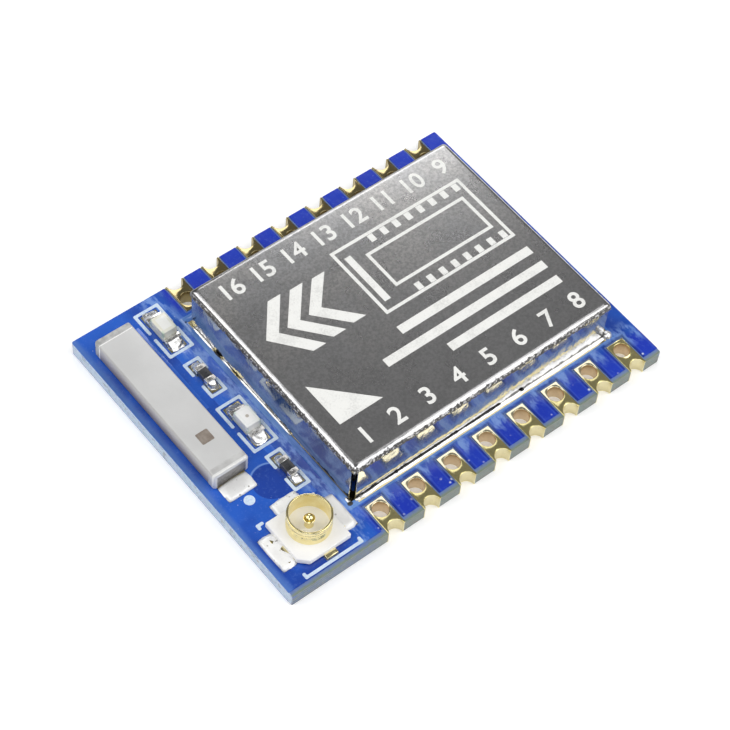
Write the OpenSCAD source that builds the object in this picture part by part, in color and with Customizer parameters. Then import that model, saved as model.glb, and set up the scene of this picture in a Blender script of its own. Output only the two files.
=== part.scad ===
// Wireless module: a small circuit board with plated edge pads, a screening can soldered over its
// chips, a ceramic chip aerial, a coaxial aerial socket, two lamps and their resistors.
// Millimetres, +Z up. The origin is the centre of the underside. The aerial end is at -X, and the
// edge pads run along the two long sides, numbered from the aerial end: 1 to 8 at -Y, 9 to 16 at +Y.

/* [Board] */
// Length of the board along X
board_l = 21.2; // [20.8:0.1:26]
// Width of the board along Y
board_w = 16; // [15.8:0.1:20]
// Thickness of the bare laminate
core_t = 0.7; // [0.4:0.05:1.6]
// Radius of the board's corners
board_corner_r = 0.3; // [0.1:0.05:0.5]
// Thickness of the copper lands with their plating
copper_t = 0.05; // [0.04:0.01:0.08]
// Thickness of the solder mask
mask_t = 0.03; // [0.02:0.01:0.04]
// Bare strip that the mask leaves around each land
mask_gap = 0.04; // [0.02:0.01:0.1]
// Bare strip that the mask leaves around each edge pad
pad_mask_gap = 0.08; // [0.02:0.01:0.15]
// Bare strip that the mask leaves along the -Y edge
mask_setback = 0.25; // [0.1:0.05:0.3]
// Thickness of the printed legend
ink_t = 0.02; // [0.01:0.01:0.04]
// Width of the legend's lines
ink_w = 0.15; // [0.1:0.01:0.25]
// Size of a lamp's ink frame beyond the lamp, across and along
lamp_frame_out = [0.54, 1.25];
// Opening in the long sides of a lamp's ink frame
lamp_frame_gap = 0.3; // [0.2:0.05:1]
// Size of a resistor's ink frame beyond the resistor, across and along
chip_frame_out = [0.38, 1.2];
// Opening in the long sides of a resistor's ink frame
chip_frame_gap = 0.6; // [0.3:0.05:1]
// Radius of the ink dot at the aerial's feed
dot_r = 0.25; // [0.15:0.01:0.3]
// Distance from the feed's land to the dot's centre
dot_out = 0.42; // [0.35:0.01:0.45]
// Distance from the socket's tail to its ink bar
bar_out = 0.07; // [0.05:0.01:0.1]
// Length of the bar's hooked ends
bar_hook = 0.32; // [0.2:0.01:0.4]
// Length of the bar beyond the socket's base, at each end
bar_past = [0.15, 0.35];
// Height and width of the hook at the socket's inner corner
corner_hook = [0.3, 0.38];

/* [Edge pads] */
// Distance between neighbouring pads
pad_pitch = 2; // [1.5:0.05:2.1]
// Distance from the board's plain end to the last pads' centres
pad_end_inset = 1.6; // [1.2:0.05:2]
// Finished radius of the hole in each pad
hole_r = 0.38; // [0.25:0.01:0.48]
// Distance from the padded edge to the centres of the holes
hole_inset = 1.1; // [1:0.05:1.4]
// Finished radius of the half hole in the edge
notch_r = 0.4; // [0.3:0.01:0.48]
// Thickness of the plating in the holes
barrel_t = 0.04; // [0.02:0.01:0.06]
// Land beyond the plated holes, across the pad
pad_side_rim = 0.035; // [0.02:0.005:0.1]
// Land beyond the plated hole, at the pad's inner end
pad_end_rim = 0.1; // [0.05:0.01:0.2]

/* [Screening can] */
// Height of the can over its land
can_h = 2.4; // [2.2:0.05:3]
// Thickness of the sheet
sheet_t = 0.2; // [0.1:0.01:0.25]
// Outer radius of the folds
fold_r = 0.3; // [0.25:0.01:0.5]
// Clear strip from the can to the inner ends of the edge pads
can_pad_gap = 0.53; // [0.4:0.01:0.8]
// Length of board beyond the can at the plain end
can_end_gap = 1.65; // [1.5:0.05:2.5]
// Length of board before the can at the aerial end
aerial_zone_l = 4.85; // [4.8:0.05:6]
// Width of the open slit at each folded corner
slit_w = 0.13; // [0.05:0.01:0.2]
// Height of the closed corner above the slit
slit_top = 0.4; // [0.35:0.05:0.8]
// Width of each relief in the can's lower edge
relief_w = 1.2; // [0.6:0.1:1.6]
// Height of each relief
relief_h = 0.12; // [0.05:0.01:0.3]
// Width of the solder seam outside the can
seam_w = 0.27; // [0.15:0.01:0.35]
// Height that the solder climbs the can
seam_h = 0.22; // [0.1:0.01:0.4]
// Length that the seam stops short of a corner
seam_corner_gap = 0.3; // [0.2:0.05:0.6]
// Place of the relief in the -X foot, along Y
relief_y = 2.46; // [1.5:0.05:3]
// Place where the seam of the -X foot ends, along Y
short_seam_end = -1.17; // [-2:0.05:0]
// Width of the can's land inside its wall
can_land_in = 0.15; // [0.05:0.01:0.3]

/* [Chip aerial] */
// Length of the aerial along Y
aerial_l = 8.65; // [7:0.05:9.5]
// Width of the aerial
aerial_w = 1.85; // [1.5:0.05:2.1]
// Height of the aerial
aerial_h = 1; // [0.8:0.05:1.4]
// Radius of its long edges
aerial_edge_r = 0.12; // [0.05:0.01:0.2]
// Distance from the board's aerial end to the aerial
aerial_end_inset = 0.47; // [0.3:0.01:0.8]
// Distance from the +Y edge to the aerial
aerial_side_inset = 1.3; // [1:0.05:2]
// Length of its feed termination
feed_cap_l = 0.52; // [0.3:0.01:0.8]
// Length of its open termination
open_cap_l = 0.32; // [0.2:0.01:0.6]
// Thickness of the terminations
cap_t = 0.03; // [0.02:0.01:0.05]
// Width of the lands under the terminations
aerial_land_w = 1.44; // [1:0.01:1.6]
// Length of land beyond the feed termination
feed_land_out = 0.85; // [0.4:0.01:1]
// Length of land beyond the open termination
open_land_out = 0.4; // [0.2:0.01:0.8]

/* [Coaxial socket] */
// Distance from the board's aerial end to the ring's axis
socket_end_inset = 2.55; // [2.5:0.05:2.8]
// Distance from the -Y edge to the ring's axis
socket_side_inset = 2.18; // [2.1:0.01:2.6]
// Outer radius of the ring
ring_r = 1; // [0.8:0.01:1.05]
// Thickness of the ring's wall
ring_t = 0.1; // [0.08:0.01:0.15]
// Height of the socket over its lands
socket_h = 1.25; // [1.1:0.01:1.5]
// Depth of the snap groove around the ring
groove_d = 0.035; // [0.01:0.005:0.05]
// Height of the snap groove
groove_h = 0.3; // [0.1:0.01:0.4]
// Height of the ring's lip over the groove
lip_h = 0.22; // [0.15:0.01:0.3]
// Thickness of the moulded base
socket_base_t = 0.35; // [0.3:0.01:0.5]
// Depth to which the ring is moulded into the base
ring_root = 0.12; // [0.05:0.01:0.15]
// Base beyond the ring at -X and at -Y
base_near_rim = 0.43; // [0.3:0.01:0.5]
// Base beyond the ring at +X and at +Y
base_far_rim = 0.15; // [0.1:0.01:0.3]
// Size of the chamfer at the base's outer corner
base_chamfer = 0.4; // [0.1:0.01:0.6]
// Thickness of the stamped terminals
terminal_t = 0.1; // [0.08:0.01:0.15]
// Length of a ground terminal beyond the base
terminal_out = 0.3; // [0.2:0.01:0.4]
// Width of the side ground terminals
ground_w = 1.5; // [1:0.05:1.8]
// Width of the back ground terminal
back_w = 1; // [0.6:0.05:1.4]
// Width of the posts between the ring and the ground terminals
post_w = 0.4; // [0.3:0.05:0.5]
// Radius of the centre contact
contact_r = 0.25; // [0.2:0.01:0.3]
// Height of the centre contact's dome over the lands
contact_h = 0.95; // [0.7:0.01:1.1]
// Width of the centre contact's tail
tail_w = 0.6; // [0.4:0.01:0.7]
// Length of the tail beyond the base
tail_out = 0.24; // [0.1:0.01:0.4]
// Clearance between the centre contact and the ground terminals
contact_gap = 0.14; // [0.1:0.01:0.2]
// Land beyond the ground terminals
ground_land_out = 0.38; // [0.2:0.01:0.5]

/* [Lamps and resistors] */
// Distance from the can's wall to the line of small parts
row_gap = 1.2; // [1:0.05:1.3]
// Places of the two lamps along Y
lamp_y = [6.1, -0.05];
// Places of their two resistors along Y
resistor_y = [3, -2.95];
// Length of a lamp
lamp_l = 1.6; // [1.4:0.05:1.8]
// Width of a lamp
lamp_w = 0.8; // [0.6:0.05:0.9]
// Height of a lamp
lamp_h = 0.62; // [0.5:0.01:0.9]
// Thickness of a lamp's base board
lamp_base_t = 0.26; // [0.2:0.01:0.35]
// Length of a lamp's terminations
lamp_end = 0.26; // [0.2:0.01:0.35]
// Slope of the lens's end faces, as a setback at its top
lens_draft = 0.05; // [0:0.01:0.1]
// Side of the light-giving die
die_w = 0.24; // [0.15:0.01:0.3]
// Thickness of the die
die_t = 0.1; // [0.08:0.01:0.12]
// Thickness of the end plating of small parts
end_t = 0.02; // [0.01:0.005:0.03]
// Length of a small chip part
chip_l = 1; // [0.9:0.05:1.1]
// Width of a small chip part
chip_w = 0.5; // [0.4:0.05:0.6]
// Height of a small chip resistor
resistor_h = 0.35; // [0.3:0.01:0.45]
// Length of a small part's terminations
chip_end = 0.25; // [0.15:0.01:0.3]
// Length of land beyond a small part's end
land_out = 0.38; // [0.2:0.01:0.45]
// Height of the solder fillets against small parts
fillet_h = 0.2; // [0.1:0.01:0.3]

/* [Parts under the can] */
// Side of the controller's body
controller_w = 5; // [4:0.1:6]
// Height of the controller
controller_h = 0.85; // [0.7:0.05:1]
// Distance between the controller's pads
controller_pitch = 0.5; // [0.4:0.01:0.55]
// Side of the controller's centre pad
controller_slug_w = 3.3; // [2.5:0.1:3.5]
// Place of the controller from the can's centre
controller_at = [-2.9, 0.3];
// Length of the memory's body along X
memory_l = 5.3; // [4:0.1:6]
// Width of the memory's body along Y
memory_w = 5.25; // [3.9:0.05:5.6]
// Height of the memory
memory_h = 1.75; // [1.5:0.05:1.9]
// Reach of the memory's leads, tip to tip
memory_reach = 7.9; // [6:0.1:8.2]
// Distance between the memory's leads
memory_pitch = 1.27; // [1:0.01:1.4]
// Place of the memory from the can's centre
memory_at = [3.9, 0];
// Length of the crystal along X
crystal_l = 3.2; // [2.5:0.1:3.6]
// Width of the crystal
crystal_w = 2.5; // [2:0.1:2.7]
// Thickness of the crystal's ceramic base
crystal_base_t = 0.5; // [0.4:0.05:0.7]
// Thickness of the crystal's lid
crystal_lid_t = 0.2; // [0.1:0.05:0.3]
// Rim of the crystal's base around its lid
crystal_rim = 0.18; // [0.1:0.01:0.3]
// Place of the crystal from the can's centre
crystal_at = [-2.9, -4];
// Height of a small capacitor or inductor
capacitor_h = 0.5; // [0.4:0.05:0.6]
// Places of the capacitors from the can's centre
capacitor_at = [[-6.4, 4.25], [-5, 4.25], [-3.9, 4.25], [-2.8, 4.25], [-1.7, 4.25], [0.55, 2],
    [0.55, 0], [-6.4, -4.2], [-0.4, -4.1]];
// Places of the pull resistors from the can's centre
pull_at = [[-0.6, 4.25], [0.55, -2], [0.55, -4.2]];
// Places of the aerial-matching inductors from the can's centre
inductor_at = [[-6.4, 2.1], [-6.4, 0.1], [-6.4, -1.9]];

/* [Hidden] */
$fn = 48;

// Heights of the board's layers and of the lands that the parts stand on
core_top = copper_t + core_t;
land_top = core_top + copper_t;
mask_top = core_top + mask_t;

// Edge pads
pads_per_side = 8;
pad_w = 2 * (max(hole_r, notch_r) + barrel_t + pad_side_rim);
pad_l = hole_inset + hole_r + barrel_t + pad_end_rim;
function pad_x(i) = board_l / 2 - pad_end_inset - (pads_per_side - 1 - i % pads_per_side) * pad_pitch;
function pad_side(i) = i < pads_per_side ? -1 : 1;

// Can
can_l = board_l - aerial_zone_l - can_end_gap;
can_w = board_w - 2 * (pad_l + can_pad_gap);
can_x = (aerial_zone_l - can_end_gap) / 2;
can_wall_x = can_x - can_l / 2;

// Aerial
aerial_x = -board_l / 2 + aerial_end_inset + aerial_w / 2;
aerial_y1 = board_w / 2 - aerial_side_inset;
aerial_y0 = aerial_y1 - aerial_l;

// Socket: ring's axis and the four sides of its base
ring_x = -board_l / 2 + socket_end_inset;
ring_y = -board_w / 2 + socket_side_inset;
base_x0 = ring_x - ring_r - base_near_rim;
base_x1 = ring_x + ring_r + base_far_rim;
base_y0 = ring_y - ring_r - base_near_rim;
base_y1 = ring_y + ring_r + base_far_rim;
ground_y = (base_y0 + base_y1) / 2;
ring_in = ring_r - ring_t;
terminal_side_land = 0.15;

// Line of lamps and resistors between the aerial and the can
row_x = can_wall_x - row_gap;

solder_lip = 0.02;
fillet_steps = 6;
lead_t = 0.2;
lead_w = 0.42;
lead_foot = 0.6;
lead_shoulder = 0.35;
leads_per_side = 4;
memory_standoff = 0.1;
memory_draft = 0.12;
pads_per_edge = 8;
qfn_pad_w = 0.25;
qfn_pad_l = 0.4;
qfn_pad_t = 0.2;
qfn_land_out = 0.25;
crystal_notch_r = 0.2;
crystal_land = [1.1, 0.9];
mark_r = 0.3;
mark_d = 0.06;
past = 0.01;

// ---- Shapes that repeat ----

// Rectangle given by its two corners, grown by m on every side
module rect(x0, y0, x1, y1, m = 0) {
    translate([x0 - m, y0 - m]) square([x1 - x0 + 2 * m, y1 - y0 + 2 * m]);
}

// Rectangle centred on the origin, with round corners
module round_rect(l, w, r) {
    square([l - 2 * r, w], center = true);
    square([l, w - 2 * r], center = true);
    for (sx = [-1, 1], sy = [-1, 1]) translate([sx * (l / 2 - r), sy * (w / 2 - r)]) circle(r);
}

// Section of a solder fillet: upright against x = 0, sweeping down and out to w along the land
module fillet_2d(w, h) {
    rise = min(h, w);
    bend = (w * w + rise * rise) / (2 * rise);
    turn = asin(w / bend);
    sweep = [for (n = [0:fillet_steps]) let (a = turn * n / fillet_steps)
        [w - bend * sin(a), solder_lip + bend * (1 - cos(a))]];
    polygon(concat([[0, 0], [w, 0]], sweep));
}

// Straight fillet along +Y of length l, leaning on the plane x = 0 and spreading to +X
module fillet(l, w, h) {
    rotate([90, 0, 0]) translate([0, 0, -l]) linear_extrude(l) fillet_2d(w, h);
}

// Draws its children once for each place in a list
module at_each(places) {
    for (p = places) translate([p[0], p[1], 0]) children();
}

// Box centred in X and Y, standing on z0
module block(w, l, h, z0 = 0) {
    translate([-w / 2, -l / 2, z0]) cube([w, l, h]);
}

// Ceramic of a part with two plated ends, lying along Y
module chip_body(w, l, h) {
    block(w - 2 * end_t, l - 2 * end_t, h - 2 * end_t, end_t);
}

// The two plated ends that wrap around it
module chip_ends(w, l, h, reach) {
    difference() {
        for (s = [-1, 1]) translate([0, s * (l - reach) / 2, 0]) block(w, reach, h);
        chip_body(w, l, h);
    }
}

// Lands under the two ends, grown by m
module chip_lands_2d(w, l, reach, m = 0) {
    for (s = [-1, 1])
        translate([0, s * (l / 2 - reach + (reach + land_out) / 2)])
            square([w + 2 * m, reach + land_out + 2 * m], center = true);
}

// Fillets on the lands beyond the two ends
module chip_fillets(w, l) {
    for (s = [0, 180])
        rotate([0, 0, 90 + s]) translate([l / 2, -w / 2, 0]) fillet(w, land_out, fillet_h);
}

// ---- Places of the parts ----

module at_lamp(i) {
    translate([row_x, lamp_y[i], land_top]) children();
}

module at_can() {
    translate([can_x, 0, land_top]) children();
}

module in_row(ys) {
    for (y = ys) translate([row_x, y]) children();
}

// ---- Board ----

module outline_2d() {
    round_rect(board_l, board_w, board_corner_r);
}

// Puts its children at pad i, with the board's edge on y = 0 and the board at +Y
module at_pad(i) {
    translate([pad_x(i), pad_side(i) * board_w / 2, 0])
        mirror([0, pad_side(i) > 0 ? 1 : 0, 0]) children();
}

module laminate_core() {
    color("darkseagreen")
        difference() {
            translate([0, 0, copper_t]) linear_extrude(core_t) outline_2d();
            for (i = [0:2 * pads_per_side - 1]) at_pad(i) {
                cylinder(h = land_top, r = notch_r + barrel_t);
                translate([0, hole_inset, 0]) cylinder(h = land_top, r = hole_r + barrel_t);
            }
        }
}

// One plated pad: a land on each face, a plated hole and a plated half hole at the edge
module edge_pad(i) {
    color("goldenrod")
        at_pad(i) difference() {
            union() {
                for (z = [0, core_top]) translate([-pad_w / 2, 0, z]) cube([pad_w, pad_l, copper_t]);
                translate([0, hole_inset, 0]) cylinder(h = land_top, r = hole_r + barrel_t);
                intersection() {
                    cylinder(h = land_top, r = notch_r + barrel_t);
                    translate([-pad_w / 2, 0, 0]) cube([pad_w, pad_l, land_top]);
                }
            }
            translate([0, hole_inset, -past]) cylinder(h = land_top + 2 * past, r = hole_r);
            translate([0, 0, -past]) cylinder(h = land_top + 2 * past, r = notch_r);
        }
}

// Openings that the mask leaves around the edge pads and along the -Y edge
module edge_windows_2d() {
    for (i = [0:2 * pads_per_side - 1])
        translate([pad_x(i), pad_side(i) * (board_w / 2 - pad_l / 2)])
            square([pad_w + 2 * pad_mask_gap, pad_l + 2 * pad_mask_gap], center = true);
    translate([-board_l / 2 - past, -board_w / 2 - past])
        square([board_l + 2 * past, mask_setback + past]);
}

module solder_mask_top() {
    color("royalblue")
        translate([0, 0, core_top]) linear_extrude(mask_t) difference() {
            outline_2d();
            edge_windows_2d();
            lands_2d(mask_gap);
            can_land_2d(mask_gap);
        }
}

module solder_mask_bottom() {
    color("royalblue")
        translate([0, 0, copper_t - mask_t]) linear_extrude(mask_t) difference() {
            outline_2d();
            edge_windows_2d();
        }
}

// Lands on the top face that the parts are soldered to, grown by m
module lands_2d(m = 0) {
    aerial_lands_2d(m);
    socket_lands_2d(m);
    in_row(lamp_y) chip_lands_2d(lamp_w, lamp_l, lamp_end, m);
    in_row(resistor_y) chip_lands_2d(chip_w, chip_l, chip_end, m);
    translate([can_x, 0]) {
        for (p = concat(capacitor_at, pull_at, inductor_at))
            translate(p) chip_lands_2d(chip_w, chip_l, chip_end, m);
        translate(controller_at) controller_lands_2d(m);
        translate(memory_at) memory_lands_2d(m);
        translate(crystal_at) crystal_lands_2d(m);
    }
}

module aerial_lands_2d(m) {
    x0 = aerial_x - aerial_land_w / 2;
    x1 = aerial_x + aerial_land_w / 2;
    rect(x0, aerial_y0 - feed_land_out, x1, aerial_y0 + feed_cap_l, m);
    rect(x0, aerial_y1 - open_cap_l, x1, aerial_y1 + open_land_out, m);
}

module socket_lands_2d(m) {
    side = ground_w / 2 + terminal_side_land;
    back = back_w / 2 + terminal_side_land;
    out = terminal_out + ground_land_out;
    rect(base_x0 - out, ground_y - side, base_x0, ground_y + side, m);
    rect(base_x1, ground_y - side, base_x1 + out, ground_y + side, m);
    rect(ring_x - back, base_y1, ring_x + back, base_y1 + out, m);
    rect(ring_x - tail_w / 2, base_y0 - tail_out, ring_x + tail_w / 2, base_y0, m);
}

module controller_lands_2d(m) {
    square(controller_slug_w + 2 * m, center = true);
    at_controller_pads()
        translate([0, controller_w / 2 + (qfn_land_out - qfn_pad_l) / 2])
            square([qfn_pad_w + 2 * m, qfn_pad_l + qfn_land_out + 2 * m], center = true);
}

module memory_lands_2d(m) {
    foot = lead_foot + 2 * land_out;
    at_memory_leads()
        translate([0, memory_reach / 2 - lead_foot / 2])
            square([lead_w + 2 * m, foot + 2 * m], center = true);
}

module crystal_lands_2d(m) {
    for (sx = [-1, 1], sy = [-1, 1])
        translate([sx * (crystal_l - crystal_land[0]) / 2, sy * (crystal_w - crystal_land[1]) / 2])
            square(crystal_land + [2 * m, 2 * m], center = true);
}

// Frame of land under the can's wall and its seam
module can_land_2d(m = 0) {
    out = seam_w + m;
    in = sheet_t + can_land_in + m;
    translate([can_x, 0]) difference() {
        square([can_l + 2 * out, can_w + 2 * out], center = true);
        square([can_l - 2 * in, can_w - 2 * in], center = true);
    }
}

module surface_lands() {
    color("gold")
        translate([0, 0, core_top]) linear_extrude(copper_t) {
            lands_2d();
            can_land_2d();
        }
}

// Frame of ink around a part, open in the middle of its long sides
module bracket_2d(w, l, opening) {
    difference() {
        square([w, l], center = true);
        square([w - 2 * ink_w, l - 2 * ink_w], center = true);
        square([w + ink_w, opening], center = true);
    }
}

// Line of ink along +X with both ends turned to +Y
module hooked_bar_2d(l) {
    square([l, ink_w]);
    for (x = [0, l - ink_w]) translate([x, 0]) square([ink_w, bar_hook]);
}

module legend_ink() {
    lamp_frame = [lamp_w, lamp_l] + lamp_frame_out;
    chip_frame = [chip_w, chip_l] + chip_frame_out;
    color("white")
        translate([0, 0, mask_top]) linear_extrude(ink_t) {
            in_row(lamp_y) bracket_2d(lamp_frame[0], lamp_frame[1], lamp_frame_gap);
            in_row(resistor_y) bracket_2d(chip_frame[0], chip_frame[1], chip_frame_gap);
            translate([aerial_x, aerial_y0 - feed_land_out - dot_out]) circle(dot_r);
            translate([base_x0 - bar_past[0], base_y0 - tail_out - bar_out - ink_w])
                hooked_bar_2d(base_x1 - base_x0 + bar_past[0] + bar_past[1]);
            translate([base_x0 - 2 * ink_w, base_y1]) {
                square([ink_w, corner_hook[0]]);
                translate([0, corner_hook[0] - ink_w]) square([corner_hook[1], ink_w]);
            }
        }
}

// ---- Screening can ----

// Section with round upper corners, standing on y = 0
module round_top_2d(w, h, r) {
    translate([-w / 2, 0]) square([w, h - r]);
    translate([r - w / 2, 0]) square([w - 2 * r, h]);
    for (s = [-1, 1]) translate([s * (w / 2 - r), h - r]) circle(r);
}

// Block with all four of its upper edges rounded
module folded_block(l, w, h, r) {
    intersection() {
        rotate([90, 0, 0]) translate([0, 0, -w]) linear_extrude(2 * w) round_top_2d(l, h, r);
        rotate([90, 0, 90]) translate([0, 0, -l]) linear_extrude(2 * l) round_top_2d(w, h, r);
    }
}

module screening_can() {
    color("silver")
        at_can() difference() {
            folded_block(can_l, can_w, can_h, fold_r);
            translate([0, 0, -past])
                folded_block(can_l - 2 * sheet_t, can_w - 2 * sheet_t, can_h - sheet_t + past,
                    fold_r - sheet_t);
            for (sx = [-1, 1], sy = [-1, 1])
                translate([sx * can_l / 2, sy * can_w / 2, -past])
                    rotate([0, 0, sx * sy * 45])
                        block(4 * sheet_t, slit_w, can_h - slit_top + past);
            translate([-can_l / 2, relief_y, -past])
                block(4 * sheet_t, relief_w, relief_h + past);
        }
}

// One run of the solder seam along +Y, leaning on x = 0, with its ends rounded off
module seam_run(y0, y1) {
    translate([0, y0, 0]) fillet(y1 - y0, seam_w, seam_h);
    translate([0, y1, 0]) rotate_extrude(angle = 90) fillet_2d(seam_w, seam_h);
    translate([0, y0, 0]) rotate([0, 0, -90]) rotate_extrude(angle = 90) fillet_2d(seam_w, seam_h);
}

module can_solder() {
    end = seam_corner_gap + seam_w;
    side = can_w / 2 - end;
    long_side = can_l / 2 - end;
    relief = relief_w / 2 + seam_w;
    color("lightgray")
        at_can() {
            translate([can_l / 2, 0, 0]) seam_run(-side, side);
            for (s = [-1, 1])
                rotate([0, 0, s * 90]) translate([can_w / 2, 0, 0]) seam_run(-long_side, long_side);
            mirror([1, 0, 0]) translate([can_l / 2, 0, 0]) {
                seam_run(relief_y + relief, side);
                seam_run(short_seam_end, relief_y - relief);
            }
        }
}

// ---- Chip aerial ----

// Bar of the aerial's section made smaller all round by d, from y0 to y1
module aerial_bar(y0, y1, d = 0) {
    translate([aerial_x, y1, land_top + aerial_h / 2]) rotate([90, 0, 0])
        linear_extrude(y1 - y0) round_rect(aerial_w - 2 * d, aerial_h - 2 * d, aerial_edge_r - d);
}

module aerial_inner() {
    aerial_bar(aerial_y0 + cap_t, aerial_y1 - cap_t, cap_t);
}

module aerial_body() {
    color("gainsboro") {
        aerial_bar(aerial_y0 + feed_cap_l, aerial_y1 - open_cap_l);
        aerial_inner();
    }
}

module aerial_feed_cap() {
    color("silver")
        difference() {
            aerial_bar(aerial_y0, aerial_y0 + feed_cap_l);
            aerial_inner();
        }
}

module aerial_open_cap() {
    color("silver")
        difference() {
            aerial_bar(aerial_y1 - open_cap_l, aerial_y1);
            aerial_inner();
        }
}

module aerial_solder() {
    w = aerial_land_w;
    color("lightgray")
        translate([aerial_x, 0, land_top]) {
            translate([-w / 2, aerial_y1, 0]) rotate([0, 0, 90]) translate([0, -w, 0])
                fillet(w, open_land_out, fillet_h);
            translate([w / 2, aerial_y0, 0]) rotate([0, 0, -90]) translate([0, -w, 0])
                fillet(w, feed_land_out, fillet_h);
        }
}

// ---- Coaxial socket ----

module at_ring() {
    translate([ring_x, ring_y, land_top]) children();
}

// Stamped ground plate: a wing at each side and at the back, clear of the centre contact
module ground_plate_2d() {
    inner = ring_in - ring_root;
    rect(base_x0 - terminal_out, ground_y - ground_w / 2, ring_x - inner, ground_y + ground_w / 2);
    rect(ring_x + inner, ground_y - ground_w / 2, base_x1 + terminal_out, ground_y + ground_w / 2);
    rect(ring_x - back_w / 2, ring_y + inner, ring_x + back_w / 2, base_y1 + terminal_out);
}

// Posts that carry the ring's foot on the three wings, inside the moulding
module ring_posts() {
    for (turn = [0, 90, 180])
        rotate([0, 0, turn]) translate([ring_r - ring_root - ring_t / 2, 0, terminal_t])
            block(ring_t, post_w, socket_base_t - terminal_t - ring_root / 2);
}

// Ring with its lip, its snap groove and a foot that leans inwards to lock it in the moulding
module socket_ring() {
    groove_z = socket_h - lip_h - groove_h / 2;
    bend = (groove_h * groove_h / 4 + groove_d * groove_d) / (2 * groove_d);
    foot_z = socket_base_t - ring_root;
    rotate_extrude() {
        difference() {
            rect(ring_in, socket_base_t, ring_r, socket_h - ring_t / 2);
            translate([ring_r - groove_d + bend, groove_z]) circle(bend);
        }
        polygon([[ring_in, socket_base_t], [ring_in - ring_root, foot_z],
            [ring_r - ring_root, foot_z], [ring_r, socket_base_t]]);
        translate([ring_r - ring_t / 2, socket_h - ring_t / 2]) circle(ring_t / 2);
    }
}

module socket_shell_shape() {
    translate([0, 0, land_top]) linear_extrude(terminal_t) ground_plate_2d();
    at_ring() {
        ring_posts();
        socket_ring();
    }
}

module socket_shell() {
    color("gold") socket_shell_shape();
}

// Post with a domed top, and the flat tail that runs out at -Y
module socket_contact_shape() {
    at_ring() {
        cylinder(h = contact_h - contact_r, r = contact_r);
        translate([0, 0, contact_h - contact_r]) sphere(contact_r);
    }
    translate([0, 0, land_top]) linear_extrude(terminal_t)
        rect(ring_x - tail_w / 2, base_y0 - tail_out, ring_x + tail_w / 2, ring_y);
}

module socket_contact() {
    color("gold") socket_contact_shape();
}

module socket_base() {
    c = base_chamfer;
    color("whitesmoke")
        difference() {
            translate([0, 0, land_top]) linear_extrude(socket_base_t)
                polygon([[base_x0 + c, base_y0], [base_x1, base_y0], [base_x1, base_y1],
                    [base_x0, base_y1], [base_x0, base_y0 + c]]);
            socket_shell_shape();
            socket_contact_shape();
        }
}

module socket_solder() {
    w = ground_w;
    color("lightgray")
        translate([0, 0, land_top]) {
            translate([base_x1 + terminal_out, ground_y - w / 2, 0])
                fillet(w, ground_land_out, terminal_t);
            translate([base_x0 - terminal_out, ground_y + w / 2, 0])
                rotate([0, 0, 180]) fillet(w, ground_land_out, terminal_t);
            translate([ring_x + back_w / 2, base_y1 + terminal_out, 0])
                rotate([0, 0, 90]) fillet(back_w, ground_land_out, terminal_t);
        }
}

// ---- Lamps ----

module lamp_base(i) {
    color("honeydew") at_lamp(i) chip_body(lamp_w, lamp_l, lamp_base_t);
}

module lamp_ends(i) {
    color("silver") at_lamp(i) chip_ends(lamp_w, lamp_l, lamp_base_t, lamp_end);
}

module lamp_lens(i, tint) {
    foot = lamp_base_t - end_t;
    half = lamp_l / 2 - lamp_end;
    w = lamp_w - 2 * end_t;
    color(tint, 0.7)
        at_lamp(i) difference() {
            rotate([90, 0, 90]) translate([0, 0, -w / 2]) linear_extrude(w)
                polygon([[-half, foot], [half, foot], [half - lens_draft, lamp_h],
                    [lens_draft - half, lamp_h]]);
            block(die_w, die_w, die_t, foot);
        }
}

module lamp_die(i) {
    color("khaki") at_lamp(i) block(die_w, die_w, die_t, lamp_base_t - end_t);
}

module power_lamp_base() { lamp_base(0); }
module power_lamp_ends() { lamp_ends(0); }
module power_lamp_lens() { lamp_lens(0, "lightyellow"); }
module power_lamp_die() { lamp_die(0); }
module status_lamp_base() { lamp_base(1); }
module status_lamp_ends() { lamp_ends(1); }
module status_lamp_lens() { lamp_lens(1, "white"); }
module status_lamp_die() { lamp_die(1); }

// ---- Resistors outside the can, and the solder of that row ----

module lamp_resistor_bodies() {
    color("dimgray") translate([0, 0, land_top]) in_row(resistor_y)
        chip_body(chip_w, chip_l, resistor_h);
}

module lamp_resistor_ends() {
    color("silver") translate([0, 0, land_top]) in_row(resistor_y)
        chip_ends(chip_w, chip_l, resistor_h, chip_end);
}

module small_part_solder() {
    color("lightgray") translate([0, 0, land_top]) {
        in_row(lamp_y) chip_fillets(lamp_w, lamp_l);
        in_row(resistor_y) chip_fillets(chip_w, chip_l);
    }
}

// ---- Controller, memory and crystal ----

module at_controller_pads() {
    for (turn = [0:90:270], n = [0:pads_per_edge - 1])
        rotate([0, 0, turn])
            translate([(n - (pads_per_edge - 1) / 2) * controller_pitch, 0]) children();
}

module controller_pads_shape() {
    at_controller_pads()
        translate([0, controller_w / 2 - qfn_pad_l / 2, 0]) block(qfn_pad_w, qfn_pad_l, qfn_pad_t);
    block(controller_slug_w, controller_slug_w, qfn_pad_t);
}

module controller_pads() {
    color("silver") at_can() translate(controller_at) controller_pads_shape();
}

// Shallow dimple that marks pin 1
module pin_mark(x, y, z) {
    translate([x, y, z - mark_d]) cylinder(h = mark_d + past, r = mark_r);
}

module controller_body() {
    corner = controller_w / 2 - 2 * mark_r;
    color("dimgray") at_can() translate(controller_at) difference() {
        block(controller_w, controller_w, controller_h);
        controller_pads_shape();
        pin_mark(-corner, corner, controller_h);
    }
}

module at_memory_leads() {
    for (turn = [0, 180], n = [0:leads_per_side - 1])
        rotate([0, 0, turn]) translate([(n - (leads_per_side - 1) / 2) * memory_pitch, 0]) children();
}

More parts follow.
